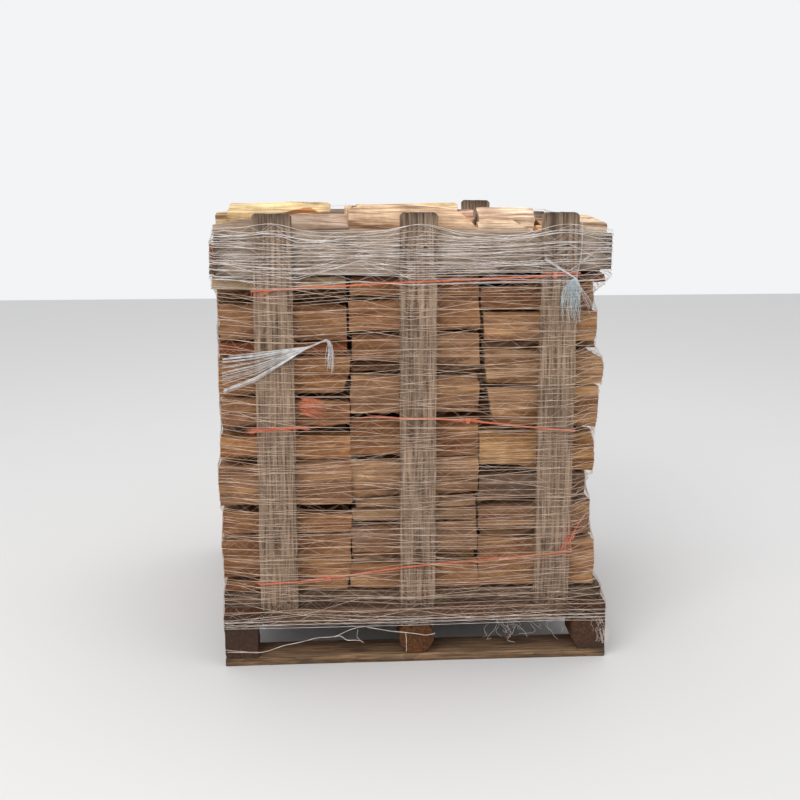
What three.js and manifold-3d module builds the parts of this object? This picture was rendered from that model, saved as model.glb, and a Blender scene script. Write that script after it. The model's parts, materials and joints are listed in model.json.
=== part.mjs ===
// A pallet of split firewood. Three columns of short logs lie across a block pallet, and upright boards at the
// front and back, three turns of baler twine and a knitted net sleeve hold them together.
// Millimetres, +Z up. The front faces -Y, and the origin is at the middle of the underside.
import * as THREE from "three";
import { mergeVertices } from "three/addons/utils/BufferGeometryUtils.js";
import Module from "manifold-3d";

const wasm = await Module();
wasm.setup();

// Driving dimensions
const palletWidth = 1000;
const palletDepth = 1000;
const fit = 0.3; // gap between pieces that touch
const baseBoardWidth = 100;
const baseBoardHeight = 22;
const blockHeight = 88;
const blockDepth = 100;
const joistHeight = 39;
const crossBoardWidth = 95; // lies between the end joists at the front, under the first plank
const plankHeight = 38;
const plankWidth = 120;
const postThickness = 24;
const postSetback = 0.7; // from a post's inner face to the plank behind it
const railThickness = 24;
const railHeight = 110;
const railFloor = 1017;
const railFrom = -497;
const railTo = 488;
const logBack = -350; // the front row of logs ends here
const coreFront = -345;
const coreBack = 472;
const coreBehindRail = 446;
const twineRadius = 2.5;
const twineSides = 8;
const twineClear = twineRadius + 1.1; // from a post's face to the middle of the twine
const channelSize = 14;
const netHalfWidth = 512;
const netHalfDepth = 510;
const netWall = 2;
const netCorner = 30;
const netBottom = 112;
const netTop = 1128;

// Heights that follow from them
const blockFloor = baseBoardHeight + fit;
const joistFloor = blockFloor + blockHeight + fit;
const plankFloor = joistFloor + joistHeight + fit;
const stackFloor = plankFloor + plankHeight + 2;
const edge = palletDepth / 2;
const postFront = edge - postThickness / 2;
const plankEdge = edge - postThickness - postSetback;

// Widths along X of the three rows of blocks and joists
const supports = [
  { side: "left", from: -500, to: -415, joistTo: -405 },
  { side: "middle", from: -47, to: 45, joistTo: 45 },
  { side: "right", from: 413, to: 500, joistTo: 500 },
];

// Front posts stand at the middle of each column of logs. The back ones are a little closer together.
const frontPosts = [
  { side: "left", centre: -356.5, width: 97, height: 1020 },
  { side: "middle", centre: 2, width: 92, height: 1020 },
  { side: "right", centre: 353.5, width: 91, height: 1020 },
];
const backPosts = [
  { side: "left", centre: -300, width: 92, height: 978 },
  { side: "middle", centre: -16, width: 92, height: 978 },
  { side: "right", centre: 268, width: 92, height: 1002 },
];

// Each column's front logs, from the bottom up. front is the distance of the split face from the middle.
const columns = [
  {
    side: "left",
    from: -500,
    to: -172,
    logs: [
      { floor: 224, top: 340, front: 470, round: 0.2 },
      { floor: 345, top: 405, front: 466, round: 0.5 },
      { floor: 425, top: 535, front: 472, round: 0.1, from: -505 },
      { floor: 540, top: 605, front: 468, round: 0.6 },
      { floor: 635, top: 706, front: 464, round: 0.3, from: -492 },
      { floor: 710, top: 812, front: 470, round: 0.4 },
      { floor: 850, top: 944, front: 468, round: 0.7, from: -494 },
      { floor: 1098, top: 1172, front: 446, round: 0.4, from: -504 },
    ],
    ledges: [
      [190, 212, 462],
      [815, 846, 462],
      [980, 1013, 472],
      [1016, 1094, 446],
    ],
    crown: [1165, 1158, 1142, 1122],
  },
  {
    side: "middle",
    from: -166,
    to: 160,
    logs: [
      { floor: 192, top: 264, front: 468, round: 0.3 },
      { floor: 290, top: 370, front: 470, round: 0.2 },
      { floor: 440, top: 540, front: 466, round: 0.4 },
      { floor: 546, top: 646, front: 462, round: 0.6 },
      { floor: 658, top: 760, front: 470, round: 0.2 },
      { floor: 790, top: 866, front: 466, round: 0.5 },
      { floor: 875, top: 958, front: 470, round: 0.3 },
      { floor: 1100, top: 1190, front: 446, round: 0.7 },
    ],
    ledges: [
      [373, 436, 462],
      [962, 1012, 462],
      [1016, 1096, 446],
    ],
    crown: [1176, 1170, 1156, 1134],
  },
  {
    side: "right",
    from: 166,
    to: 470,
    logs: [
      { floor: 195, top: 320, front: 468, round: 0.2 },
      { floor: 345, top: 415, front: 464, round: 0.5, to: 456 },
      { floor: 420, top: 495, front: 456, round: 0.6, to: 442 },
      { floor: 505, top: 605, front: 468, round: 0.3, to: 463 },
      { floor: 616, top: 726, front: 470, round: 0.2, to: 466 },
      { floor: 735, top: 820, front: 468, round: 0.4, to: 478 },
      { floor: 845, top: 919, front: 466, round: 0.5, to: 461 },
      { floor: 922, top: 990, front: 458, round: 0.3, to: 442 },
    ],
    ledges: [[1014, 1146, 446]],
    crown: [1156, 1142, 1122, 1100],
  },
];

// Routes of the three turns of twine, as [x, y, z] along the front, back through the stack on the right,
// along the back and forward again on the left.
const twineLine = edge + twineClear;
const turns = [
  {
    name: "twine_lower",
    frontLine: [
      [-352, 227],
      [-308, 230],
      [-230, 238],
      [-44, 262],
      [48, 270],
      [308, 288],
      [397, 295],
    ],
    rightLeg: 332,
    leftLeg: 218,
    startHeight: 226,
  },
  {
    name: "twine_middle",
    frontLine: [
      [-352, 634],
      [-308, 638],
      [-44, 658],
      [48, 656],
      [127, 650],
      [308, 628],
      [397, 619],
    ],
    rightLeg: 610.5,
    leftLeg: 620,
    startHeight: 632,
  },
  {
    name: "twine_upper",
    frontLine: [
      [-352, 985],
      [-308, 988],
      [-44, 1001],
      [48, 1004],
      [308, 1014],
      [397, 1022],
    ],
    rightLeg: 1004,
    leftLeg: 962,
    startHeight: 983,
  },
];

// Finishes
const freshPine = new THREE.MeshStandardMaterial({ color: 0xc99a63, roughness: 0.85, metalness: 0 });
const hiddenLogs = new THREE.MeshStandardMaterial({ color: 0xb08455, roughness: 0.9, metalness: 0 });
const greyBoard = new THREE.MeshStandardMaterial({ color: 0x8c8072, roughness: 0.9, metalness: 0 });
const brownBlock = new THREE.MeshStandardMaterial({ color: 0x6d4d33, roughness: 0.9, metalness: 0 });
const orangeTwine = new THREE.MeshStandardMaterial({ color: 0xd97a4e, roughness: 0.8, metalness: 0 });
const whiteNet = new THREE.MeshStandardMaterial({ color: 0xe4e4e2, roughness: 0.7, metalness: 0 });

const bundle = new THREE.Group();

function addMesh(name, geometry, material) {
  const mesh = new THREE.Mesh(geometry, material);
  mesh.name = name;
  bundle.add(mesh);
  return mesh;
}

// A board or block from its lowest corner to its highest.
function addBox(name, low, high, material) {
  const size = high.map((value, i) => value - low[i]);
  const middle = high.map((value, i) => (value + low[i]) / 2);
  addMesh(name, new THREE.BoxGeometry(...size), material).position.set(...middle);
}

// An outline in Y and Z, extruded along X between two places.
function extrudeAlongX(outline, from, to) {
  const shape = new THREE.Shape(outline.map(([y, z]) => new THREE.Vector2(y, z)));
  const geometry = new THREE.ExtrudeGeometry(shape, { depth: to - from, bevelEnabled: false });
  const alongX = new THREE.Matrix4().makeBasis(
    new THREE.Vector3(0, 1, 0),
    new THREE.Vector3(0, 0, 1),
    new THREE.Vector3(1, 0, 0),
  );
  return geometry.applyMatrix4(alongX).translate(from, 0, 0);
}

// manifold-3d's solid of a closed geometry, and the way back.
function toSolid(geometry) {
  const bare = new THREE.BufferGeometry();
  const source = geometry.index ? geometry.toNonIndexed() : geometry;
  bare.setAttribute("position", source.getAttribute("position"));
  const merged = mergeVertices(bare, 1e-3);
  const data = {
    numProp: 3,
    vertProperties: new Float32Array(merged.attributes.position.array),
    triVerts: new Uint32Array(merged.index.array),
  };
  return new wasm.Manifold(new wasm.Mesh(data));
}

function toGeometry(solid) {
  const mesh = solid.getMesh();
  const geometry = new THREE.BufferGeometry();
  geometry.setAttribute("position", new THREE.BufferAttribute(mesh.vertProperties, 3));
  geometry.setIndex(new THREE.BufferAttribute(mesh.triVerts, 1));
  geometry.computeVertexNormals();
  return geometry;
}

// The pallet: base boards, blocks, joists and a plank deck
function addPallet() {
  const rows = [
    { place: "front", y: -edge + blockDepth / 2 },
    { place: "middle", y: 0 },
    { place: "back", y: edge - blockDepth / 2 },
  ];
  for (const { place, y } of rows) {
    addBox(
      `base_board_${place}`,
      [-palletWidth / 2, y - baseBoardWidth / 2, 0],
      [palletWidth / 2, y + baseBoardWidth / 2, baseBoardHeight],
      greyBoard,
    );
    for (const { side, from, to } of supports) {
      const name = `block_${side}_${place}`;
      const low = [from, y - blockDepth / 2, blockFloor];
      const high = [to, y + blockDepth / 2, blockFloor + blockHeight];
      if (side === "middle" && place === "front") addRoundBlock(name, low, high);
      else addBox(name, low, high, brownBlock);
    }
  }
  for (const { side, from, joistTo } of supports) {
    const front = side === "middle" ? crossBoardWidth + fit - edge : -edge;
    addBox(
      `joist_${side}`,
      [from, front, joistFloor],
      [joistTo, edge, joistFloor + joistHeight],
      brownBlock,
    );
  }
  addBox(
    "cross_board_front",
    [supports[0].joistTo + fit, -edge, joistFloor],
    [supports[2].from - fit, crossBoardWidth - edge, joistFloor + joistHeight],
    greyBoard,
  );
  const plankPitch = (2 * plankEdge - plankWidth) / 4;
  for (let i = 0; i < 5; i++) {
    const y = -plankEdge + i * plankPitch;
    addBox(
      `deck_plank_${i + 1}`,
      [-palletWidth / 2, y, plankFloor],
      [palletWidth / 2 - 10, y + plankWidth, plankFloor + plankHeight],
      greyBoard,
    );
  }
}

// The middle front block is a short length of round log with its end grain to the front, flattened above and
// below and notched at its right foot.
function addRoundBlock(name, low, high) {
  const width = high[0] - low[0];
  const height = high[2] - low[2];
  const flat = width * 0.3;
  const foot = 14;
  const outline = new THREE.Shape();
  outline.moveTo(-flat, 0);
  outline.lineTo(flat - foot, 0);
  outline.lineTo(flat, foot);
  outline.quadraticCurveTo(width / 2, height * 0.3, width / 2, height * 0.55);
  outline.quadraticCurveTo(width / 2, height * 0.9, flat, height);
  outline.lineTo(-flat, height);
  outline.quadraticCurveTo(-width / 2, height * 0.9, -width / 2, height * 0.5);
  outline.quadraticCurveTo(-width / 2, height * 0.15, -flat, 0);
  const depth = high[1] - low[1];
  const geometry = new THREE.ExtrudeGeometry(outline, { depth, bevelEnabled: false, curveSegments: 5 });
  const mesh = addMesh(name, geometry, brownBlock);
  mesh.rotation.x = Math.PI / 2;
  mesh.position.set((low[0] + high[0]) / 2, high[1], low[2]);
}

// A weathered board along the inside of the posts, near their tops
function addRails() {
  const inner = plankEdge - railThickness;
  const rows = [
    { place: "front", from: -plankEdge, to: -inner },
    { place: "back", from: inner, to: plankEdge },
  ];
  for (const { place, from, to } of rows) {
    addBox(`rail_${place}`, [railFrom, from, railFloor], [railTo, to, railFloor + railHeight], greyBoard);
  }
}

// Upright boards on the outside of the stack
function addPosts() {
  const rows = [
    { place: "front", posts: frontPosts, y: -postFront },
    { place: "back", posts: backPosts, y: postFront },
  ];
  for (const { place, posts, y } of rows) {
    for (const { side, centre, width, height } of posts) {
      addBox(
        `post_${place}_${side}`,
        [centre - width / 2, y - postThickness / 2, plankFloor],
        [centre + width / 2, y + postThickness / 2, plankFloor + height],
        greyBoard,
      );
    }
  }
}

// The section of a split log: a flat split face to the front, and a back that is more or less rounded.
function logSection({ floor, top, front, round }) {
  const height = top - floor;
  const depth = -front - logBack;
  const face = (share, level) => [-front - share * depth, floor + level * height];
  return [
    face(0, 0.08),
    face(0.4, 0),
    face(0.8, 0.06 + 0.12 * round),
    face(1, 0.2 + 0.1 * round),
    face(1, 0.85 - 0.1 * round),
    face(0.75, 1 - 0.1 * round),
    face(0.35, 1),
    face(0.02, 0.94),
  ];
}

function addFrontLogs({ side, from, to, logs }) {
  logs.forEach((log, i) => {
    const geometry = extrudeAlongX(logSection(log), log.from ?? from, log.to ?? to);
    addMesh(`log_${side}_${i + 1}`, geometry, freshPine);
  });
}

// The logs behind a column's front row, as one solid of their outer shape. A ledge runs forward to the front
// where a small log lies between two large ones, and behind the top rail.
function coreOutline({ ledges, crown }) {
  const outline = [[coreBack, stackFloor]];
  if (ledges[0][0] > stackFloor) outline.push([coreFront, stackFloor]);
  for (const [floor, top, reach] of ledges) {
    const corner = Math.max(floor, stackFloor);
    if (corner > stackFloor) outline.push([coreFront, corner]);
    outline.push([-reach, corner], [-reach, top], [coreFront, top]);
  }
  const step = (coreBehindRail - coreFront) / crown.length;
  crown.forEach((level, i) => {
    outline.push([coreFront + (i + 0.15) * step, level - 14]);
    outline.push([coreFront + (i + 0.5) * step, level]);
    outline.push([coreFront + (i + 0.85) * step, level - 12]);
  });
  outline.push([coreBehindRail, crown.at(-1) - 30]);
  outline.push([coreBehindRail, railFloor - 3], [coreBack, railFloor - 3]);
  return outline.reverse();
}

// A straight square channel for a leg of twine.
function channelAlong(start, end) {
  const along = new THREE.Vector3().subVectors(end, start);
  const geometry = new THREE.BoxGeometry(channelSize, channelSize, along.length() + 60);
  const place = new THREE.Object3D();
  place.position.copy(start).addScaledVector(along, 0.5);
  place.lookAt(end);
  place.updateMatrixWorld();
  return toSolid(geometry.applyMatrix4(place.matrixWorld));
}

function addCore(column) {
  let solid = toSolid(extrudeAlongX(coreOutline(column), column.from + 3, column.to - 3));
  for (const turn of turns) {
    for (const [start, end] of legsOf(turn)) solid = solid.subtract(channelAlong(start, end));
  }
  addMesh(`logs_behind_${column.side}`, toGeometry(solid), hiddenLogs);
}

// Where a turn of twine passes the outer edges of the end posts, and its two straight legs through the stack
const rightFront = frontPosts[2].centre + frontPosts[2].width / 2 + twineClear;
const rightBack = backPosts[2].centre + backPosts[2].width / 2 + twineClear;
const leftFront = frontPosts[0].centre - frontPosts[0].width / 2 - twineClear;
const leftBack = backPosts[0].centre - backPosts[0].width / 2 - twineClear;
const legFront = -464;
const legBack = 480;

function legsOf({ rightLeg, leftLeg }) {
  return [
    [new THREE.Vector3(rightFront, legFront, rightLeg), new THREE.Vector3(rightBack, legBack, rightLeg)],
    [new THREE.Vector3(leftBack, legBack, leftLeg), new THREE.Vector3(leftFront, legFront, leftLeg)],
  ];
}

// Three points round a post's outer corner. The signs say which way out of the post X and Y point.
function roundCorner(legX, xSign, ySign, height) {
  const corner = [legX - xSign * twineClear, ySign * edge];
  return [0, Math.PI / 4, Math.PI / 2].map((angle) => {
    const x = corner[0] + xSign * twineClear * Math.sin(angle);
    const y = corner[1] + ySign * twineClear * Math.cos(angle);
    return new THREE.Vector3(x, y, height);
  });
}

function twineRoute({ frontLine, rightLeg, leftLeg, startHeight }) {
  const [[rightEnter, rightLeave], [leftEnter, leftLeave]] = legsOf({ rightLeg, leftLeg });
  const endHeight = frontLine.at(-1)[1];
  const postInside = edge - postThickness + 2;
  const [startX, startZ] = frontLine[0];
  return [
    ...frontLine.map(([x, z]) => new THREE.Vector3(x, -twineLine, z)),
    ...roundCorner(rightFront, 1, -1, endHeight),
    new THREE.Vector3(rightFront, -postInside, (endHeight + 2 * rightLeg) / 3),
    rightEnter,
    rightLeave,
    ...roundCorner(rightBack, 1, 1, rightLeg).reverse(),
    new THREE.Vector3(backPosts[1].centre, twineLine, (rightLeg + leftLeg) / 2),
    ...roundCorner(leftBack, -1, 1, leftLeg),
    leftEnter,
    leftLeave,
    new THREE.Vector3(leftFront, -postInside, (startHeight + 2 * leftLeg) / 3),
    ...roundCorner(leftFront, -1, -1, startHeight).reverse(),
    new THREE.Vector3(startX - 1, -twineLine, startZ),
  ];
}

// A taut line through its own points, with one section of the tube at each of them.
class TautRoute extends THREE.Curve {
  constructor(points) {
    super();
    this.points = points;
  }

  getPoint(t) {
    const place = THREE.MathUtils.clamp(t, 0, 1) * (this.points.length - 1);
    const i = Math.min(Math.floor(place), this.points.length - 2);
    return new THREE.Vector3().lerpVectors(this.points[i], this.points[i + 1], place - i);
  }

  getUtoTmapping(u) {
    return u;
  }
}

function addTwine(turn) {
  const section = new THREE.Shape();
  for (let i = 0; i < twineSides; i++) {
    const angle = (i / twineSides) * 2 * Math.PI;
    const corner = [twineRadius * Math.cos(angle), twineRadius * Math.sin(angle)];
    if (i) section.lineTo(...corner);
    else section.moveTo(...corner);
  }
  const points = twineRoute(turn);
  const extrudePath = new TautRoute(points);
  const geometry = new THREE.ExtrudeGeometry(section, { steps: points.length - 1, extrudePath });
  addMesh(turn.name, geometry, orangeTwine);
}

// The net is pulled tight round everything, so it is a thin upright sleeve with rounded corners.
function roundedRectangle(target, halfWidth, halfDepth, corner) {
  target.moveTo(-halfWidth + corner, -halfDepth);
  target.lineTo(halfWidth - corner, -halfDepth);
  target.quadraticCurveTo(halfWidth, -halfDepth, halfWidth, -halfDepth + corner);
  target.lineTo(halfWidth, halfDepth - corner);
  target.quadraticCurveTo(halfWidth, halfDepth, halfWidth - corner, halfDepth);
  target.lineTo(-halfWidth + corner, halfDepth);
  target.quadraticCurveTo(-halfWidth, halfDepth, -halfWidth, halfDepth - corner);
  target.lineTo(-halfWidth, -halfDepth + corner);
  target.quadraticCurveTo(-halfWidth, -halfDepth, -halfWidth + corner, -halfDepth);
  return target;
}

function addNet() {
  const outer = roundedRectangle(new THREE.Shape(), netHalfWidth, netHalfDepth, netCorner);
  const innerWidth = netHalfWidth - netWall;
  const innerDepth = netHalfDepth - netWall;
  outer.holes.push(roundedRectangle(new THREE.Path(), innerWidth, innerDepth, netCorner - netWall));
  const options = { depth: netTop - netBottom, bevelEnabled: false, curveSegments: 4 };
  addMesh("net_sleeve", new THREE.ExtrudeGeometry(outer, options), whiteNet).position.z = netBottom;
}

addPallet();
addRails();
addPosts();
for (const column of columns) {
  addFrontLogs(column);
  addCore(column);
}
for (const turn of turns) addTwine(turn);
addNet();

export default bundle;
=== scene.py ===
import json
import math
import random

import bpy
import numpy as np
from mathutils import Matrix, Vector

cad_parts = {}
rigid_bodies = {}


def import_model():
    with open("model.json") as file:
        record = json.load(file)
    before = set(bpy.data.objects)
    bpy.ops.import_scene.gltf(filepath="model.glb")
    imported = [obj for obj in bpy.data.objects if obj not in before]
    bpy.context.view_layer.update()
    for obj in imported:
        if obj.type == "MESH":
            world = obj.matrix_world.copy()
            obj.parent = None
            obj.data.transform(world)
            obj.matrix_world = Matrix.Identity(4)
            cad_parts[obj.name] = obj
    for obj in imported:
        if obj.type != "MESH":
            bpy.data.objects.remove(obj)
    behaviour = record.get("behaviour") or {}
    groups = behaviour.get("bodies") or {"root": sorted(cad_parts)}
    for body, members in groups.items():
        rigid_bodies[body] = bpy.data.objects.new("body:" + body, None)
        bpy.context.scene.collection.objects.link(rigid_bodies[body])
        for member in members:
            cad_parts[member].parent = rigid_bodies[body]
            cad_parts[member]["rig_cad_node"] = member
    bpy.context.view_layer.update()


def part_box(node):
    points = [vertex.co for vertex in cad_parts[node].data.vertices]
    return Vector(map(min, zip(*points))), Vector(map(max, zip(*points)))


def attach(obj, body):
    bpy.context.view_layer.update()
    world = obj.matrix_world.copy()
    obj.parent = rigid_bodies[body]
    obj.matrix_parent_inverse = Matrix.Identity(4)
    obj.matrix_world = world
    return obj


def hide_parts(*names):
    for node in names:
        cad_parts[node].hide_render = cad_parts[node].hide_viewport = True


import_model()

# A pallet of split firewood: boards, blocks, logs, twine and net, front towards -Y, in metres.
bpy.ops.object.select_all(action="DESELECT")
chance = random.Random(41)


# camera, light and floor
cameraSetup = {"place": (-0.245, -3.46, 1.346), "yawDegrees": -3.875, "pitchDegrees": 77.81, "lens": 54.37,
               "sensor": 36}

studio = {
    "floorTint": (0.64, 0.635, 0.63),
    "floorSize": 14.0,
    "skyTint": (0.97, 0.98, 1.0),
    "skyStrength": 0.92,
    "aim": (0, 0, 0.55),
    # each lamp's place, power, size and tint
    "lamps": [
        ((-1.9, -3.4, 4.3), 120, 2.6, (1.0, 0.985, 0.96)),
        ((3.4, -3.2, 2.2), 16, 2.6, (0.96, 0.98, 1.0)),
        ((0.3, 0.9, 4.6), 46, 3.0, (1.0, 0.99, 0.97)),
    ],
}


def addCamera(setup):
    bpy.ops.object.camera_add(location=setup["place"])
    camera = bpy.context.object
    camera.rotation_euler = (math.radians(setup["pitchDegrees"]), 0, math.radians(setup["yawDegrees"]))
    camera.data.lens = setup["lens"]
    camera.data.sensor_width = setup["sensor"]
    bpy.context.scene.camera = camera


def addLamp(place, power, size, tint, aim):
    bpy.ops.object.light_add(type="AREA", location=place)
    lamp = bpy.context.object
    lamp.data.energy = power
    lamp.data.size = size
    lamp.data.color = tint
    toTarget = Vector(aim) - Vector(place)
    lamp.rotation_euler = toTarget.to_track_quat("-Z", "Y").to_euler()


def addStudio(setup):
    for lamp in setup["lamps"]:
        addLamp(*lamp, setup["aim"])
    world = bpy.data.worlds.new("sky")
    bpy.context.scene.world = world
    world.use_nodes = True
    sky = world.node_tree.nodes["Background"]
    sky.inputs["Color"].default_value = (*setup["skyTint"], 1)
    sky.inputs["Strength"].default_value = setup["skyStrength"]
    bpy.ops.mesh.primitive_plane_add(size=setup["floorSize"], location=(0, 0, 0))
    floor = bpy.context.object
    floor.name = "floor"
    paint = bpy.data.materials.new("floorPaint")
    paint.use_nodes = True
    shader = paint.node_tree.nodes["Principled BSDF"]
    shader.inputs["Base Color"].default_value = (*setup["floorTint"], 1)
    shader.inputs["Roughness"].default_value = 0.9
    floor.data.materials.append(paint)
    floor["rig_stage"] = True
    bpy.context.scene.view_settings.view_transform = "Standard"


# helpers for modelling
def linearTint(red, green, blue):
    # a tint as seen on a screen, 0 to 255, as the shader wants it
    shares = (red / 255, green / 255, blue / 255)
    return tuple(c / 12.92 if c <= 0.04045 else ((c + 0.055) / 1.055) ** 2.4 for c in shares)


def camelName(node):
    first, *others = node.split("_")
    return first + "".join(word.capitalize() for word in others)


def boxMiddle(low, high):
    return [(a + b) / 2 for a, b in zip(low, high)]


def readAll(items, name, width, kind=float):
    # one row of values for each point, edge or face of a mesh
    values = np.zeros(len(items) * width, kind)
    items.foreach_get(name, values)
    return values.reshape(-1, width)


def pickOnly(*pieces):
    bpy.ops.object.select_all(action="DESELECT")
    for piece in pieces:
        piece.select_set(True)
    bpy.context.view_layer.objects.active = pieces[0]


def editAll(piece):
    pickOnly(piece)
    bpy.ops.object.mode_set(mode="EDIT")
    bpy.ops.mesh.select_all(action="SELECT")


def leaveEdit():
    bpy.ops.object.mode_set(mode="OBJECT")


def cutAway(place, normal):
    # everything past the plane goes, and the cut is closed
    bpy.ops.mesh.select_all(action="SELECT")
    bpy.ops.mesh.bisect(plane_co=place, plane_no=normal, use_fill=True, clear_outer=True)


def sliceThrough(place, normal):
    # new edges along the plane, with nothing taken away
    bpy.ops.mesh.select_all(action="SELECT")
    bpy.ops.mesh.bisect(plane_co=place, plane_no=normal)


def sliceBetween(low, high, axis, count, middle):
    # evenly spaced cuts across one axis
    normal = [0, 0, 0]
    normal[axis] = 1
    for i in range(1, count):
        place = list(middle)
        place[axis] = low + (high - low) * i / count
        sliceThrough(place, normal)


def applyModifier(piece, kind, **settings):
    pickOnly(piece)
    modifier = piece.modifiers.new(kind.lower(), kind)
    for key, value in settings.items():
        setattr(modifier, key, value)
    bpy.ops.object.modifier_apply(modifier=modifier.name)


def joinPieces(pieces, name):
    pickOnly(*pieces)
    if len(pieces) > 1:
        bpy.ops.object.join()
    nameBoth(pieces[0], name)
    return pieces[0]


def nameBoth(piece, name):
    piece.name = name
    piece.data.name = name


def coverWith(piece, material):
    piece.data.materials.clear()
    piece.data.materials.append(material)


def shadeByAngle(piece, degrees):
    pickOnly(piece)
    bpy.ops.object.shade_smooth_by_angle(angle=math.radians(degrees))


def settle(piece, slotName, *nodes):
    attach(piece, "root")
    if nodes:
        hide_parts(*nodes)


def addSpace(name, scale):
    # an empty whose scale stretches a displacement texture along the grain
    bpy.ops.object.empty_add(location=(0, 0, 0))
    space = bpy.context.object
    space.name = name
    space.scale = scale
    return space


def addRelief(name, kind, **settings):
    relief = bpy.data.textures.new(name, kind)
    for key, value in settings.items():
        setattr(relief, key, value)
    return relief


def groupOf(piece, name, indices):
    piece.vertex_groups.new(name=name).add([int(i) for i in indices], 1.0, "REPLACE")


grainAlongX = addSpace("grainAlongX", (0.30, 0.022, 0.022))
grainAlongY = addSpace("grainAlongY", (0.022, 0.30, 0.022))
grainAlongZ = addSpace("grainAlongZ", (0.022, 0.022, 0.30))
warpAlongX = addSpace("warpAlongX", (0.22, 0.09, 0.09))
tornAlongX = addSpace("tornAlongX", (0.16, 0.034, 0.034))
barkSpace = addSpace("barkSpace", (0.05, 0.02, 0.02))
grainSpaces = (grainAlongX, grainAlongY, grainAlongZ)
fibreRelief = addRelief("fibreRelief", "CLOUDS", noise_scale=0.5, noise_depth=3)
warpRelief = addRelief("warpRelief", "CLOUDS", noise_scale=0.9, noise_depth=1)
barkRelief = addRelief("barkRelief", "VORONOI", noise_scale=0.8, distance_metric="DISTANCE")


# helpers for shader nodes: a value is a number, a tuple or another node's output
def feed(tree, socket, value):
    if isinstance(value, bpy.types.NodeSocket):
        tree.links.new(value, socket)
    elif socket.type == "RGBA":
        socket.default_value = (*value[:3], 1)
    else:
        socket.default_value = value


def addNode(tree, kind, inputs, **settings):
    node = tree.nodes.new(kind)
    for key, value in settings.items():
        setattr(node, key, value)
    for key, value in inputs.items():
        feed(tree, node.inputs[key], value)
    return node


def newGroup(name, inputs, outputs):
    tree = bpy.data.node_groups.new(name, "ShaderNodeTree")
    for label, kind, value in inputs:
        socket = tree.interface.new_socket(label, in_out="INPUT", socket_type=kind)
        if value is not None:
            socket.default_value = value
    for label, kind in outputs:
        tree.interface.new_socket(label, in_out="OUTPUT", socket_type=kind)
    return tree, tree.nodes.new("NodeGroupInput"), tree.nodes.new("NodeGroupOutput")


def mathNode(tree, operation, a, b=0.0, clamp=False):
    return addNode(tree, "ShaderNodeMath", {0: a, 1: b}, operation=operation, use_clamp=clamp).outputs[0]


def vectorMath(tree, operation, a, b=(0, 0, 0)):
    return addNode(tree, "ShaderNodeVectorMath", {0: a, 1: b}, operation=operation).outputs[0]


def noiseNode(tree, vector, scale=1.0, detail=2.0, roughness=0.5):
    return addNode(tree, "ShaderNodeTexNoise", {"Vector": vector, "Scale": scale, "Detail": detail,
                                               "Roughness": roughness})


def cellNode(tree, vector, feature="F1"):
    node = addNode(tree, "ShaderNodeTexVoronoi", {"Vector": vector, "Scale": 1.0}, feature=feature)
    return node.outputs["Distance"]


def mixColour(tree, factor, a, b, blend="MIX"):
    node = addNode(tree, "ShaderNodeMix", {}, data_type="RGBA", blend_type=blend)
    for socket, value in ((node.inputs[0], factor), (node.inputs[6], a), (node.inputs[7], b)):
        feed(tree, socket, value)
    return node.outputs[2]


def ramp(tree, factor, stops):
    node = tree.nodes.new("ShaderNodeValToRGB")
    tree.links.new(factor, node.inputs[0])
    while len(node.color_ramp.elements) < len(stops):
        node.color_ramp.elements.new(0.5)
    for element, (at, grey) in zip(node.color_ramp.elements, stops):
        element.position = at
        element.color = (*grey[:3], 1) if isinstance(grey, tuple) else (grey, grey, grey, 1)
    return node.outputs[0]


def stretched(tree, vector, scale):
    return vectorMath(tree, "MULTIPLY", vector, scale)


def objectCoords(tree):
    return tree.nodes.new("ShaderNodeTexCoord").outputs["Object"]


def makeWoodGroup():
    # growth rings round the pith, fibres along the grain, and slow blotches. X runs along the grain
    tree, start, end = newGroup(
        "woodFigure",
        [("Place", "NodeSocketVector", None), ("Ring Spacing", "NodeSocketFloat", 0.007),
         ("Wobble", "NodeSocketFloat", 0.012), ("Fibre Scale", "NodeSocketFloat", 1.0)],
        [(label, "NodeSocketFloat") for label in ("Rings", "Fibre", "Blotch", "Fine")],
    )
    place = start.outputs["Place"]
    slow = noiseNode(tree, stretched(tree, place, (3.5, 16, 16)))
    shift = vectorMath(tree, "SUBTRACT", slow.outputs["Color"], (0.5, 0.5, 0.5))
    wobble = start.outputs["Wobble"]
    sway = addNode(tree, "ShaderNodeVectorMath", {0: shift, "Scale": wobble}, operation="SCALE")
    moved = vectorMath(tree, "ADD", place, sway.outputs[0])
    radius = addNode(tree, "ShaderNodeVectorMath", {0: stretched(tree, moved, (0, 1, 1))}, operation="LENGTH")
    turns = mathNode(tree, "DIVIDE", radius.outputs["Value"], start.outputs["Ring Spacing"])
    results = {
        "Rings": mathNode(tree, "POWER", mathNode(tree, "FRACT", turns), 2.6),
        "Fibre": noiseNode(tree, stretched(tree, place, (9, 210, 210)), start.outputs["Fibre Scale"],
                           4.0, 0.65).outputs[0],
        "Blotch": noiseNode(tree, stretched(tree, place, (5, 17, 17)), 1.0, 3.0, 0.6).outputs[0],
        "Fine": noiseNode(tree, stretched(tree, place, (40, 700, 700))).outputs[0],
    }
    for label, result in results.items():
        tree.links.new(result, end.inputs[label])
    return tree


def makeGrimeGroup():
    # patches of dirt and damp, read from the object's own coordinates
    tree, start, end = newGroup(
        "grime",
        [("Scale", "NodeSocketFloat", 9.0), ("Amount", "NodeSocketFloat", 0.5)],
        [("Mask", "NodeSocketFloat")],
    )
    noise = noiseNode(tree, objectCoords(tree), start.outputs["Scale"], 6.0, 0.62)
    sharp = ramp(tree, noise.outputs[0], [(0.42, 0.0), (0.66, 1.0)])
    tree.links.new(mathNode(tree, "MULTIPLY", sharp, start.outputs["Amount"]), end.inputs["Mask"])
    return tree


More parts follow.
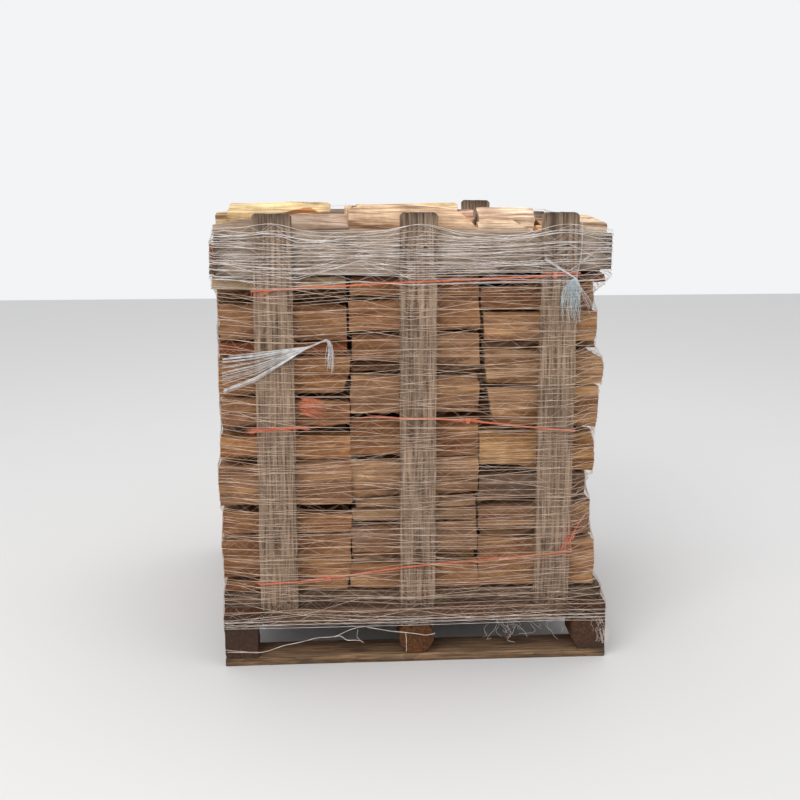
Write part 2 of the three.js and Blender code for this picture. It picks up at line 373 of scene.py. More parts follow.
woodGroup = makeWoodGroup()
grimeGroup = makeGrimeGroup()


def useGroup(tree, group, inputs):
    return addNode(tree, "ShaderNodeGroup", inputs, node_tree=group)


def woodFigure(tree, place, look):
    return useGroup(tree, woodGroup, {"Place": place, "Ring Spacing": look["ringSpacing"],
                                      "Wobble": look["wobble"]})


def grimeMask(tree, scale, amount):
    return useGroup(tree, grimeGroup, {"Scale": scale, "Amount": amount}).outputs["Mask"]


def newMaterial(name, roughness):
    material = bpy.data.materials.new(name)
    material.use_nodes = True
    tree = material.node_tree
    shader = tree.nodes["Principled BSDF"]
    shader.inputs["Roughness"].default_value = roughness
    shader.inputs["Specular IOR Level"].default_value = 0.25
    return material, tree, shader


def attributeNode(tree, name):
    return addNode(tree, "ShaderNodeAttribute", {}, attribute_name=name)


def dress(tree, shader, colour, height=None, strength=0.0, distance=0.0):
    # the colour and the relief of a finished material
    tree.links.new(colour, shader.inputs["Base Color"])
    if height:
        bump = addNode(tree, "ShaderNodeBump", {"Strength": strength, "Distance": distance, "Height": height})
        tree.links.new(bump.outputs[0], shader.inputs["Normal"])


def twoTone(tree, noise, dull, bright):
    return mixColour(tree, ramp(tree, noise.outputs[0], [(0.35, 0.0), (0.65, 1.0)]), dull, bright)


splitLook = {"ringSpacing": 0.0085, "wobble": 0.022, "darkest": 0.40, "bump": 0.7}


def makeSplitWood(look):
    material, tree, shader = newMaterial("splitWood", 0.82)
    place = attributeNode(tree, "woodPlace").outputs["Vector"]
    tintNode = attributeNode(tree, "logTint")
    figure = woodFigure(tree, place, look)
    blotch = figure.outputs["Blotch"]
    streak = ramp(tree, figure.outputs["Fibre"],
                  [(0.27, look["darkest"]), (0.43, 0.80), (0.57, 1.06), (0.76, 1.46)])
    colour = mixColour(tree, 1.0, tintNode.outputs["Color"], streak, "MULTIPLY")
    rings = ramp(tree, figure.outputs["Rings"], [(0.0, 1.08), (0.55, 1.0), (1.0, 0.70)])
    colour = mixColour(tree, 0.8, colour, rings, "MULTIPLY")
    patch = ramp(tree, blotch, [(0.30, (0.62, 0.50, 0.40)), (0.46, (0.92, 0.89, 0.86)),
                                (0.58, (1.05, 1.05, 1.05)), (0.74, (1.30, 1.28, 1.22))])
    colour = mixColour(tree, 0.85, colour, patch, "MULTIPLY")
    # broad bands of darker heartwood and of pale sapwood
    bands = noiseNode(tree, stretched(tree, place, (3.0, 42, 42)), 1.0, 3.0, 0.6)
    heart = ramp(tree, bands.outputs[0], [(0.52, 0.0), (0.64, 0.80)])
    colour = mixColour(tree, heart, colour, linearTint(106, 60, 28))
    pale = ramp(tree, bands.outputs[0], [(0.34, 0.55), (0.44, 0.0)])
    colour = mixColour(tree, pale, colour, linearTint(214, 164, 106))
    # weathered skin, more on some logs than on others
    grey = ramp(tree, blotch, [(0.38, 1.0), (0.62, 0.25)])
    grey = mathNode(tree, "MULTIPLY", grey, tintNode.outputs["Alpha"])
    colour = mixColour(tree, grey, colour, linearTint(146, 130, 116))
    colour = mixColour(tree, grimeMask(tree, 14.0, 0.45), colour, linearTint(98, 62, 36))
    fine = mathNode(tree, "MULTIPLY", figure.outputs["Fine"], 0.5)
    dress(tree, shader, colour, mathNode(tree, "ADD", figure.outputs["Fibre"], fine), look["bump"], 0.005)
    return material


endLook = {"ringSpacing": 0.0042, "wobble": 0.006, "bump": 0.35}


def makeSawnEnd(look):
    material, tree, shader = newMaterial("sawnEnd", 0.88)
    place = attributeNode(tree, "woodPlace").outputs["Vector"]
    tintNode = attributeNode(tree, "logTint")
    figure = woodFigure(tree, place, look)
    colour = mixColour(tree, 0.42, tintNode.outputs["Color"], linearTint(162, 130, 98))
    weathered = mathNode(tree, "MULTIPLY", tintNode.outputs["Alpha"], 0.7)
    colour = mixColour(tree, weathered, colour, linearTint(128, 110, 94))
    rings = ramp(tree, figure.outputs["Rings"], [(0.0, 1.06), (0.6, 0.96), (1.0, 0.70)])
    colour = mixColour(tree, 0.8, colour, rings, "MULTIPLY")
    # radial cracks: noise that changes with the angle round the pith, and slowly along the log
    split = addNode(tree, "ShaderNodeSeparateXYZ", {0: place})
    spoke = addNode(tree, "ShaderNodeCombineXYZ", {
        "X": mathNode(tree, "MULTIPLY", split.outputs["X"], 3.0),
        "Y": mathNode(tree, "ARCTAN2", split.outputs["Z"], split.outputs["Y"])})
    crackMask = ramp(tree, noiseNode(tree, spoke.outputs[0], 9.0).outputs[0], [(0.60, 0.0), (0.66, 1.0)])
    colour = mixColour(tree, mathNode(tree, "MULTIPLY", crackMask, 0.8), colour, linearTint(52, 36, 26))
    colour = mixColour(tree, grimeMask(tree, 22.0, 0.45), colour, linearTint(104, 82, 64))
    height = mathNode(tree, "SUBTRACT", figure.outputs["Rings"], mathNode(tree, "MULTIPLY", crackMask, 2.5))
    dress(tree, shader, colour, height, look["bump"], 0.0022)
    return material


def makeBark():
    material, tree, shader = newMaterial("bark", 0.93)
    place = attributeNode(tree, "woodPlace").outputs["Vector"]
    cells = cellNode(tree, stretched(tree, place, (22, 62, 62)), "DISTANCE_TO_EDGE")
    plates = ramp(tree, cells, [(0.0, 0.0), (0.16, 0.75), (0.5, 1.0)])
    rough = noiseNode(tree, stretched(tree, place, (30, 90, 90)), 1.0, 5.0, 0.7).outputs[0]
    colour = mixColour(tree, plates, linearTint(34, 25, 20), linearTint(98, 76, 60))
    colour = mixColour(tree, rough, colour, linearTint(134, 110, 90))
    colour = mixColour(tree, grimeMask(tree, 17.0, 0.4), colour, linearTint(92, 88, 66))
    height = mathNode(tree, "ADD", plates, mathNode(tree, "MULTIPLY", rough, 0.6))
    dress(tree, shader, colour, height, 0.8, 0.006)
    return material


boardFigure = {"ringSpacing": 0.011, "wobble": 0.035}
grainTurns = {"X": (0, 0, 0), "Y": (0, 0, math.pi / 2), "Z": (0, math.pi / 2, 0)}

# the axis of the grain, the light, dark and dirt tints, and how much dirt there is
boardLooks = {
    "postWood": ("Z", (168, 144, 122), (88, 68, 54), (86, 72, 60), 0.35),
    "railWood": ("X", (182, 164, 146), (120, 100, 84), (86, 72, 60), 0.3),
    "plankWood": ("X", (126, 104, 88), (50, 36, 28), (60, 46, 38), 0.5),
    "crossWood": ("X", (128, 104, 84), (48, 30, 20), (84, 44, 26), 0.6),
    "baseWood": ("X", (152, 120, 90), (70, 50, 34), (88, 74, 62), 0.45),
    "joistWood": ("Y", (134, 78, 40), (62, 32, 14), (52, 34, 24), 0.5),
    "blockWood": ("Y", (112, 70, 40), (48, 28, 16), (44, 34, 28), 0.6),
}


def makeBoardWood(name, axis, light, dark, dirtTint, dirtAmount):
    # sawn, weathered wood
    material, tree, shader = newMaterial(name, 0.9)
    turn = addNode(tree, "ShaderNodeMapping", {"Vector": objectCoords(tree), "Location": (0, 0.031, 0.017),
                                               "Rotation": grainTurns[axis]})
    place = turn.outputs[0]
    figure = woodFigure(tree, place, boardFigure)
    fibre = figure.outputs["Fibre"]
    streaks = ramp(tree, fibre, [(0.32, 0.0), (0.62, 1.0)])
    base = mixColour(tree, streaks, linearTint(*dark), linearTint(*light))
    rings = ramp(tree, figure.outputs["Rings"], [(0.0, 1.06), (0.62, 0.96), (1.0, 0.58)])
    colour = mixColour(tree, 0.75, base, rings, "MULTIPLY")
    patch = ramp(tree, figure.outputs["Blotch"], [(0.30, 0.74), (0.55, 1.0), (0.75, 1.14)])
    colour = mixColour(tree, 0.8, colour, patch, "MULTIPLY")
    # long drying cracks
    cracks = noiseNode(tree, stretched(tree, place, (2.2, 60, 60)))
    crackMask = ramp(tree, cracks.outputs[0], [(0.485, 0.0), (0.5, 1.0), (0.515, 0.0)])
    crackMask = mathNode(tree, "MULTIPLY", crackMask, 0.55)
    colour = mixColour(tree, crackMask, colour, linearTint(46, 36, 30))
    # knots
    knots = cellNode(tree, stretched(tree, place, (5.0, 15, 15)))
    knotMask = ramp(tree, knots, [(0.0, 1.0), (0.11, 0.9), (0.19, 0.0)])
    colour = mixColour(tree, mathNode(tree, "MULTIPLY", knotMask, 0.75), colour, linearTint(66, 46, 34))
    colour = mixColour(tree, grimeMask(tree, 11.0, dirtAmount), colour, linearTint(*dirtTint))
    # damp soaked in at the ends, in streaks
    soaked = mathNode(tree, "MULTIPLY", attributeNode(tree, "boardEnds").outputs["Fac"],
                      ramp(tree, fibre, [(0.30, 1.3), (0.70, 0.5)]), True)
    colour = mixColour(tree, soaked, colour, linearTint(58, 46, 38))
    height = mathNode(tree, "SUBTRACT", fibre, mathNode(tree, "MULTIPLY", crackMask, 3.0))
    height = mathNode(tree, "SUBTRACT", height, mathNode(tree, "MULTIPLY", figure.outputs["Rings"], 0.3))
    dress(tree, shader, colour, height, 0.55, 0.003)
    return material


def makeTwineLook():
    material, tree, shader = newMaterial("orangeTwine", 0.55)
    noise = noiseNode(tree, objectCoords(tree), 900.0)
    colour = twoTone(tree, noise, linearTint(196, 82, 50), linearTint(228, 132, 98))
    colour = mixColour(tree, grimeMask(tree, 30.0, 0.45), colour, linearTint(222, 160, 134))
    dress(tree, shader, colour, noise.outputs[0], 0.4, 0.0006)
    return material


def makeNetLook():
    # warm yarn, whiter at the hem and along the top edge
    material, tree, shader = newMaterial("netThread", 0.42)
    coords = objectCoords(tree)
    noise = noiseNode(tree, coords, 26.0, 3.0)
    warm = twoTone(tree, noise, linearTint(172, 144, 122), linearTint(216, 192, 172))
    white = twoTone(tree, noise, linearTint(196, 184, 176), linearTint(236, 230, 226))
    split = addNode(tree, "ShaderNodeSeparateXYZ", {0: coords})
    edges = ramp(tree, split.outputs["Z"], [(0.12, 0.6), (0.15, 0.0), (0.98, 0.0), (1.05, 1.0)])
    shader.inputs["Specular IOR Level"].default_value = 0.4
    dress(tree, shader, mixColour(tree, edges, warm, white), noise.outputs[0], 0.2, 0.0005)
    return material


def makeGatherLook(name, dull, bright):
    # the same yarn where it is bunched up, and looks whiter
    material, tree, shader = newMaterial(name, 0.4)
    noise = noiseNode(tree, objectCoords(tree), 60.0, 3.0)
    shader.inputs["Specular IOR Level"].default_value = 0.4
    dress(tree, shader, twoTone(tree, noise, linearTint(*dull), linearTint(*bright)))
    return material


def makeNailLook():
    material, tree, shader = newMaterial("rustyNail", 0.6)
    noise = noiseNode(tree, objectCoords(tree), 700.0, 4.0)
    mask = ramp(tree, noise.outputs[0], [(0.4, 0.0), (0.6, 1.0)])
    shader.inputs["Metallic"].default_value = 0.6
    colour = mixColour(tree, mask, linearTint(70, 66, 64), linearTint(110, 62, 36))
    dress(tree, shader, colour, noise.outputs[0], 0.3, 0.0004)
    return material


splitWood = makeSplitWood(splitLook)
sawnEnd = makeSawnEnd(endLook)
bark = makeBark()
boardWoods = {name: makeBoardWood(name, *look) for name, look in boardLooks.items()}
twineLook = makeTwineLook()
netLook = makeNetLook()
nailLook = makeNailLook()
print("materials ready")


boardWear = {"edge": 0.0022, "relief": 0.0030, "warp": 0.0040, "spacing": 0.022, "endStain": 0.010}
plankWear = {**boardWear, "relief": 0.004, "warp": 0.005}


def sawBoard(node, axis, wood, slotName, wear, cuts=()):
    # a sawn board with its grain along one axis, its edges worn and its faces a little furred
    low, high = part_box(node)
    middle = boxMiddle(low, high)
    bpy.ops.object.select_all(action="DESELECT")
    bpy.ops.mesh.primitive_cube_add(size=1, location=middle, scale=[b - a for a, b in zip(low, high)])
    bpy.ops.object.transform_apply(location=True, rotation=True, scale=True)
    piece = bpy.context.object
    editAll(piece)
    for place, normal in cuts:
        cutAway(place, normal)
    for i in range(3):
        step = wear["spacing"] * (2.0 if i == axis else 0.45)
        sliceBetween(low[i], high[i], i, max(2, round((high[i] - low[i]) / step)), middle)
    leaveEdit()
    applyModifier(piece, "BEVEL", width=wear["edge"], segments=2, limit_method="ANGLE")
    roughen(piece, axis, wear["relief"], wear["warp"])
    shadeEnds(piece, axis, wear["endStain"])
    coverWith(piece, boardWoods[wood])
    shadeByAngle(piece, 38)
    nameBoth(piece, camelName(node))
    settle(piece, slotName, node)


def shadeEnds(piece, axis, depth):
    # how near each point is to the board's ends, for the stain that soaks in there
    run = readAll(piece.data.vertices, "co", 3)[:, axis]
    away = np.minimum(run - run.min(), run.max() - run)
    ends = piece.data.attributes.new("boardEnds", "FLOAT", "POINT")
    ends.data.foreach_set("value", np.exp(-away / depth))


def displace(piece, relief, space, strength, group="", level=0.5):
    applyModifier(piece, "DISPLACE", texture=relief, texture_coords="OBJECT", texture_coords_object=space,
                  strength=strength, mid_level=level, vertex_group=group)


def roughen(piece, axis, relief, warp):
    displace(piece, warpRelief, warpAlongX, warp)
    displace(piece, fibreRelief, grainSpaces[axis], relief)


def chipCorner(low, high, side, end, size):
    # a plane that takes a corner off a board's end, seen from the front
    x = high[0] if side > 0 else low[0]
    z = high[2] if end > 0 else low[2]
    return ((x - side * size, 0, z), (side, 0, end * 0.9))


def blockCuts(node, low, high):
    # the right front block has a slanting side, and some others have lost a corner
    if node == "block_right_front":
        return [((low[0] + 0.016, 0, low[2]), (-1.0, 0, -0.55))]
    if chance.random() < 0.5:
        return [chipCorner(low, high, chance.choice((-1, 1)), chance.choice((-1, 1)), 0.008)]
    return []


def buildPallet():
    for place in ("front", "middle", "back"):
        sawBoard("base_board_" + place, 0, "baseWood", "pallet_board", boardWear)
        for side in ("left", "middle", "right"):
            node = f"block_{side}_{place}"
            if node == "block_middle_front":
                buildRoundBlock(node)
                continue
            wood = "joistWood" if node == "block_right_front" else "blockWood"
            sawBoard(node, 1, wood, "pallet_block", boardWear, blockCuts(node, *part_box(node)))
    for side in ("left", "middle", "right"):
        sawBoard("joist_" + side, 1, "joistWood", "pallet_block", boardWear)
    low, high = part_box("cross_board_front")
    splitEnd = [((low.x + 0.010, 0, low.z), (-1, 0, -0.7)), ((low.x + 0.012, 0, high.z), (-1, 0, 0.5))]
    sawBoard("cross_board_front", 0, "crossWood", "pallet_board", plankWear, splitEnd)
    for i in range(1, 6):
        sawBoard(f"deck_plank_{i}", 0, "plankWood", "pallet_board", plankWear)


def buildRoundBlock(node):
    # a short length of round log under the middle joist, its end grain to the front
    low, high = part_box(node)
    middle = boxMiddle(low, high)
    bpy.ops.object.select_all(action="DESELECT")
    bpy.ops.mesh.primitive_cylinder_add(vertices=28, radius=(high.x - low.x) / 2, depth=high.y - low.y,
                                        location=middle, rotation=(math.pi / 2, 0, 0))
    piece = bpy.context.object
    bpy.ops.object.transform_apply(location=True, rotation=True, scale=True)
    editAll(piece)
    cutAway((0, 0, high.z), (0, 0, 1))
    cutAway((0, 0, low.z), (0, 0, -1))
    cutAway((high.x - 0.017, 0, low.z), (0.8, 0, -1))
    sliceBetween(low.y, high.y, 1, 5, middle)
    leaveEdit()
    applyModifier(piece, "BEVEL", width=0.0025, segments=2, limit_method="ANGLE")
    roughen(piece, 1, 0.003, 0.003)
    coverWith(piece, boardWoods["blockWood"])
    shadeByAngle(piece, 35)
    nameBoth(piece, camelName(node))
    settle(piece, "pallet_block", node)


def buildUprights():
    for place in ("front", "back"):
        for side in ("left", "middle", "right"):
            node = f"post_{place}_{side}"
            low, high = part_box(node)
            corners = [((low.x + 0.007, 0, high.z), (-1, 0, 1)), ((high.x - 0.007, 0, high.z), (1, 0, 1))]
            sawBoard(node, 2, "postWood", "post_board", boardWear, corners)
        # the board laid across gets narrower to the right
        low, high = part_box("rail_" + place)
        taper = [((0.08, 0, high.z), (0.028, 0, 1)), ((0.10, 0, low.z), (0.026, 0, -1))]
        sawBoard("rail_" + place, 0, "railWood", "post_board", boardWear, taper)


nailWork = {
    "radius": 0.0042,
    "depth": 0.004,
    "proud": 0.0006,
    # share of the board's width, and height above its lower end
    "spots": [(0.25, 0.014), (0.76, 0.022), (0.30, 0.908), (0.70, 0.938)],
}


def buildNails(work):
    # round nail heads, modelled once and copied
    bpy.ops.object.select_all(action="DESELECT")
    bpy.ops.mesh.primitive_cylinder_add(vertices=12, radius=work["radius"], depth=work["depth"],
                                        rotation=(math.pi / 2, 0, 0))
    nail = bpy.context.object
    bpy.ops.object.transform_apply(location=True, rotation=True, scale=True)
    applyModifier(nail, "BEVEL", width=0.0008, segments=2, limit_method="ANGLE")
    nail.data.materials.append(nailLook)
    heads = []
    for place, outward in (("front", -1), ("back", 1)):
        for side in ("left", "middle", "right"):
            low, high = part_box(f"post_{place}_{side}")
            face = low.y if outward < 0 else high.y
            for share, rise in work["spots"]:
                head = nail.copy()
                head.data = nail.data.copy()
                bpy.context.collection.objects.link(head)
                x = low.x + share * (high.x - low.x) + chance.uniform(-0.004, 0.004)
                z = low.z + rise + chance.uniform(-0.003, 0.003)
                head.location = (x, face + outward * work["proud"], z)
                heads.append(head)
    bpy.data.objects.remove(nail)
    pickOnly(*heads)
    bpy.ops.object.transform_apply(location=True, rotation=True, scale=True)
    settle(joinPieces(heads, "nailHeads"), "post_board")


logWork = {
    "fibre": 0.0066,    # height of the torn fibres
    "torn": 0.0085,     # broader steps in a split face
    "warp": 0.012,
    "bark": 0.006,
    "gap": 0.0022,      # taken off each side of a log, so that neighbours stay apart
    "longStep": 0.011,
    "crossStep": 0.0062,
}


def addRoundLog(pith, radius, fromX, toX, sides):
    bpy.ops.object.select_all(action="DESELECT")
    bpy.ops.mesh.primitive_cylinder_add(
        vertices=sides, radius=radius, depth=toX - fromX,
        location=((fromX + toX) / 2, pith[0], pith[1]), rotation=(0, math.pi / 2, 0))
    bpy.ops.object.transform_apply(location=True, rotation=True, scale=True)
    return bpy.context.object


def sectionCuts(corners, gap):
    # one plane for each side of a convex section, corners given as (y, z) in turn
    middle = np.mean(corners, axis=0)
    cuts = []
    for (y0, z0), (y1, z1) in zip(corners, corners[1:] + corners[:1]):
        normal = np.array([z1 - z0, y0 - y1])
        length = np.linalg.norm(normal)
        if length < 1e-6:
            continue
        normal = normal / length
        halfway = np.array([(y0 + y1) / 2, (z0 + z1) / 2])
        if np.dot(normal, halfway - middle) < 0:
            normal = -normal
        place = halfway - normal * gap
        cuts.append(((0, place[0], place[1]), (0, normal[0], normal[1])))
    return cuts


def divideEdges(piece, chosen, cuts):
    if cuts < 1 or not chosen.any():
        return
    mesh = piece.data
    mesh.vertices.foreach_set("select", np.zeros(len(mesh.vertices), bool))
    mesh.polygons.foreach_set("select", np.zeros(len(mesh.polygons), bool))
    mesh.edges.foreach_set("select", chosen)
    bpy.ops.object.mode_set(mode="EDIT")
    bpy.ops.mesh.subdivide(number_cuts=cuts)
    bpy.ops.object.mode_set(mode="OBJECT")


def edgeRuns(piece):
    points = readAll(piece.data.vertices, "co", 3)
    ends = readAll(piece.data.edges, "vertices", 2, int)
    run = points[ends[:, 1]] - points[ends[:, 0]]
    return run, np.linalg.norm(run, axis=1)


def divideLog(piece, longStep, crossStep):
    run, length = edgeRuns(piece)
    along = np.abs(run[:, 0]) > 0.8 * length
    divideEdges(piece, along, max(1, round(float(length[along].mean()) / longStep) - 1))
    if not crossStep:
        return
    for share in (16, 8, 4, 2):
        run, length = edgeRuns(piece)
        across = np.abs(run[:, 0]) < 0.5 * length
        divideEdges(piece, across & (length > crossStep * share * 0.75), share - 1)


def finishLog(piece, log):
    # materials by face, the log's own wood coordinates, its tint, and which points are bark
    mesh = piece.data
    pithY, pithZ = log["pith"]
    for material in (splitWood, sawnEnd, bark):
        mesh.materials.append(material)
    normals = readAll(mesh.polygons, "normal", 3)
    centres = readAll(mesh.polygons, "center", 3)
    reach = np.hypot(centres[:, 1] - pithY, centres[:, 2] - pithZ)
    kind = np.zeros(len(mesh.polygons), int)
    kind[reach > log["radius"] * 0.972] = 2
    kind[np.abs(normals[:, 0]) > 0.75] = 1
    mesh.polygons.foreach_set("material_index", kind)
    x, y, z = readAll(mesh.vertices, "co", 3).T
    tiltY, tiltZ = log["tilt"]
    spread = x - x.mean()
    place = np.stack([x + log["offset"], y - pithY + tiltY * spread, z - pithZ + tiltZ * spread], axis=1)
    woodPlace = mesh.attributes.new("woodPlace", "FLOAT_VECTOR", "POINT")
    woodPlace.data.foreach_set("vector", place.ravel())
    tint = mesh.attributes.new("logTint", "FLOAT_COLOR", "POINT")
    tint.data.foreach_set("color", np.tile([*linearTint(*log["tint"]), log["grey"]], len(x)))
    inner = np.minimum(x - x.min(), x.max() - x) > 0.004
    onBark = (np.hypot(y - pithY, z - pithZ) > log["radius"] - 0.0015) & inner
    groupOf(piece, "fibres", np.nonzero(inner & ~onBark)[0])
    groupOf(piece, "barkSide", np.nonzero(onBark)[0])


def splitLog(log, longStep, crossStep, sides):
    piece = addRoundLog(log["pith"], log["radius"], log["fromX"] - 0.02, log["toX"] + 0.02, sides)
    editAll(piece)
    for place, normal in log["cuts"]:
        cutAway(place, normal)
    leanA, leanB = log["sawLean"]
    middle = np.mean([place for place, normal in log["cuts"]], axis=0)
    cutAway((log["fromX"], middle[1], middle[2]), (-1, *leanA))
    cutAway((log["toX"], middle[1], middle[2]), (1, *leanB))
    leaveEdit()
    divideLog(piece, longStep, crossStep)
    finishLog(piece, log)
    return piece


def roughenLog(piece, work):
    displace(piece, warpRelief, warpAlongX, work["warp"])
    displace(piece, warpRelief, tornAlongX, work["torn"], "fibres")
    displace(piece, fibreRelief, grainAlongX, work["fibre"], "fibres")
    displace(piece, barkRelief, barkSpace, work["bark"], "barkSide", 0.6)
    shadeByAngle(piece, 40)


woodTints = [
    (166, 124, 84), (152, 110, 74), (178, 140, 98), (142, 100, 68), (170, 132, 96),
    (158, 116, 76), (186, 150, 110), (134, 96, 68), (172, 126, 80),
]


def plainLog(fromX, toX, pith, radius, cuts, tint=None, lean=0.05, grey=None):
    return {
        "fromX": fromX,
        "toX": toX,
        "pith": pith,
        "radius": radius,
        "cuts": cuts,
        "tint": tint or chance.choice(woodTints),
        "grey": chance.choice((0.0, 0.1, 0.15, 0.35, 0.7)) if grey is None else grey,
        "tilt": (chance.uniform(-0.05, 0.05), chance.uniform(-0.05, 0.05)),
        "offset": chance.uniform(0, 9),
        "sawLean": [(chance.uniform(-lean, lean), chance.uniform(-lean, lean)) for i in range(2)],
    }


# what each large front log looks like: tint, weathering, how far its face leans forward at the top
# (below 0 it leans back), the slope of its lower and upper edges along the log, and how much of its top
# front edge is split away
frontLogs = {
    "left": [
        ((158, 112, 76), 0.10, 0.05, 0.01, 0.02, 0.000),
        ((164, 116, 76), 0.10, -0.06, 0.02, -0.03, 0.000),
        ((162, 118, 84), 0.20, 0.04, -0.01, 0.02, 0.014),
        ((174, 122, 80), 0.00, -0.05, 0.04, 0.01, 0.000),
        ((150, 104, 72), 0.15, 0.08, 0.00, -0.04, 0.000),
        ((158, 112, 72), 0.10, -0.03, -0.03, 0.02, 0.016),
        ((156, 112, 76), 0.15, 0.12, 0.01, -0.02, 0.010),
        ((206, 180, 158), 0.60, 0.08, 0.00, 0.09, 0.000),
    ],
    "middle": [
        ((168, 122, 86), 0.10, 0.04, 0.01, 0.01, 0.000),
        ((152, 112, 82), 0.35, -0.04, 0.00, 0.03, 0.000),
        ((172, 132, 98), 0.15, 0.03, -0.03, 0.01, 0.018),
        ((138, 94, 62), 0.05, -0.06, 0.02, 0.00, 0.000),
        ((168, 126, 90), 0.15, 0.04, 0.00, -0.03, 0.000),
        ((178, 136, 100), 0.10, 0.02, 0.03, 0.01, 0.014),
        ((170, 122, 84), 0.10, -0.05, -0.01, 0.03, 0.000),
        # pale cream tint: the wood's own pale colour with painted sunlight on this top log
        ((252, 216, 180), 0.00, 0.22, 0.00, 0.02, 0.000),
    ],
    "right": [
        ((168, 124, 88), 0.10, 0.04, 0.00, -0.02, 0.000),
        ((158, 118, 86), 0.25, -0.05, 0.01, 0.03, 0.000),
        # dark tint: the log's own dark weathered wood, darkened further with painted shade of its recess
        ((104, 80, 62), 0.40, 0.08, -0.03, 0.00, 0.000),
        ((192, 146, 94), 0.00, 0.03, 0.06, 0.00, 0.024),
        ((176, 134, 96), 0.15, -0.02, 0.05, 0.01, 0.000),
        ((184, 146, 108), 0.10, 0.06, 0.00, -0.01, 0.022),
        ((174, 130, 90), 0.15, -0.04, 0.01, 0.00, 0.012),
        ((152, 106, 70), 0.10, 0.05, 0.00, 0.03, 0.000),
    ],
}


# splits that only some logs have: where, and which way the piece that came off lay
moreCuts = {
    "log_middle_8": [((-0.120, -0.40, 1.184), (-0.18, 0.05, 1)), ((-0.040, -0.40, 1.187), (0.085, 0.02, 1)),
                     ((0.100, -0.40, 1.166), (0.85, 0.2, 1))],
    "log_left_8": [((-0.42, -0.44, 1.150), (0.06, -0.30, 1)), ((-0.172, -0.44, 1.160), (1, -0.3, 0.25))],
    "log_right_5": [((0.188, 0, 0.690), (-1, 0, -0.16))],
    "log_right_6": [((0.178, 0, 0.770), (-1, 0, -0.10)), ((0.440, 0, 0.815), (0.5, 0, 1))],
    "log_right_4": [((0.300, -0.468, 0.598), (0.10, -0.35, 1))],
    "log_left_6": [((-0.190, 0, 0.712), (1, 0, -0.35))],
    "log_left_1": [((-0.480, 0, 0.338), (-0.5, 0, 1))],
    "log_middle_5": [((0.150, 0, 0.755), (1, 0, 0.5))],
    "log_right_7": [((0.455, 0, 0.850), (1, 0, -0.5))],
}


def frontLogOf(node, look):
    low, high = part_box(node)
    tint, grey, lean, floorSlope, topSlope, chip = look
    floorSlope, topSlope = 1.5 * floorSlope, 1.5 * topSlope
    height = high.z - low.z
    depth = high.y - low.y
    middleX = (low.x + high.x) / 2
    half = (high.x - low.x) / 2
    faceY = low.y + (0 if lean >= 0 else abs(lean) * height)
    swing = chance.uniform(-0.03, 0.03)
    floorZ = low.z + abs(floorSlope) * half * 0.5
    topZ = high.z - abs(topSlope) * half * 0.5
    cuts = [
        ((middleX, faceY + abs(swing) * half * 0.4, low.z), (swing, -1, -lean)),
        ((middleX, low.y, floorZ), (-floorSlope, 0.05, -1)),
        ((middleX, low.y, topZ), (-topSlope, 0.04, 1)),
        ((0, high.y, low.z + 0.6 * height), (0, 1, 0.10)),
        ((0, high.y - 0.1 * depth, low.z + 0.16 * height), (0, 0.8, -1)),
        ((0, high.y - 0.1 * depth, high.z - 0.12 * height), (0, 0.7, 1)),
    ]
    if chip:
        cuts.append(((middleX, low.y + chip, high.z), (chance.uniform(-0.1, 0.1), -1, 1.1)))
    if height > 0.06:
        # a second facet, above or below a slanting ridge
        upward = chance.choice((-1, 1))
        ridge = low.z + height * chance.uniform(0.35, 0.65)
        steep = chance.uniform(0.12, 0.34)
        cuts.append(((middleX, faceY + 0.001, ridge), (chance.uniform(-0.05, 0.05), -1, upward * steep)))
    cuts += moreCuts.get(node, [])
    pith = (low.y + depth * chance.uniform(0.1, 0.5), low.z + height * chance.uniform(-0.3, 0.4))
    reach = math.hypot(high.y - pith[0], high.z - pith[1])
    # towards the next column most logs reach a little past their box, and a few stop short
    outerIn = chance.uniform(-0.002, 0.002)
    innerIn = chance.choice((-0.0035, -0.0035, -0.0030, -0.0025, 0.004))
    if low.x < -0.3:
        fromX, toX = low.x + outerIn, high.x - innerIn
    else:
        fromX, toX = low.x + innerIn, high.x - outerIn
    return plainLog(fromX, toX, pith, reach * chance.uniform(0.9, 1.05) + 0.012, cuts, tint, 0.025, grey)


def buildFrontLogs(work):
    for side, looks in frontLogs.items():
        for i, look in enumerate(looks):
            node = f"log_{side}_{i + 1}"
            piece = splitLog(frontLogOf(node, look), work["longStep"], work["crossStep"], 40)
            roughenLog(piece, work)
            piece.name = f"splitLog{side.capitalize()}{i + 1}"
            settle(piece, "split_log", node)
        print("front logs:", side, len(looks))


# the columns behind the front row: their span in x, course heights, and the top of the stack from front
# to back, and then the small logs of the front row as (floor, top, how far forward)
stackPlan = {
    "left": {
        "span": (-0.500, -0.172),
        "courses": [0.190, 0.282, 0.385, 0.478, 0.580, 0.672, 0.776, 0.872, 0.976, 1.070],
        "crown": [1.150, 1.152, 1.138, 1.118],
        "small": [(0.190, 0.214, 0.462), (0.815, 0.847, 0.460), (0.948, 0.974, 0.400), (0.980, 1.013, 0.472),
                  (1.016, 1.094, 0.446)],
    },
    "middle": {
        "span": (-0.166, 0.160),
        "courses": [0.190, 0.292, 0.380, 0.486, 0.574, 0.680, 0.770, 0.878, 0.968, 1.078],
        "crown": [1.168, 1.164, 1.150, 1.130],
        "small": [(0.266, 0.288, 0.450), (0.373, 0.405, 0.460), (0.407, 0.437, 0.452), (0.768, 0.788, 0.440),
                  (0.962, 1.012, 0.462), (1.016, 1.096, 0.446)],
    },
    "right": {
        "span": (0.166, 0.470),
        "courses": [0.190, 0.275, 0.384, 0.476, 0.582, 0.676, 0.782, 0.874, 0.978, 1.066],
        "crown": [1.140, 1.130, 1.112, 1.094],
        "small": [(0.322, 0.343, 0.440), (0.820, 0.842, 0.435), (0.992, 1.013, 0.460), (1.014, 1.058, 0.446)],
    },
}

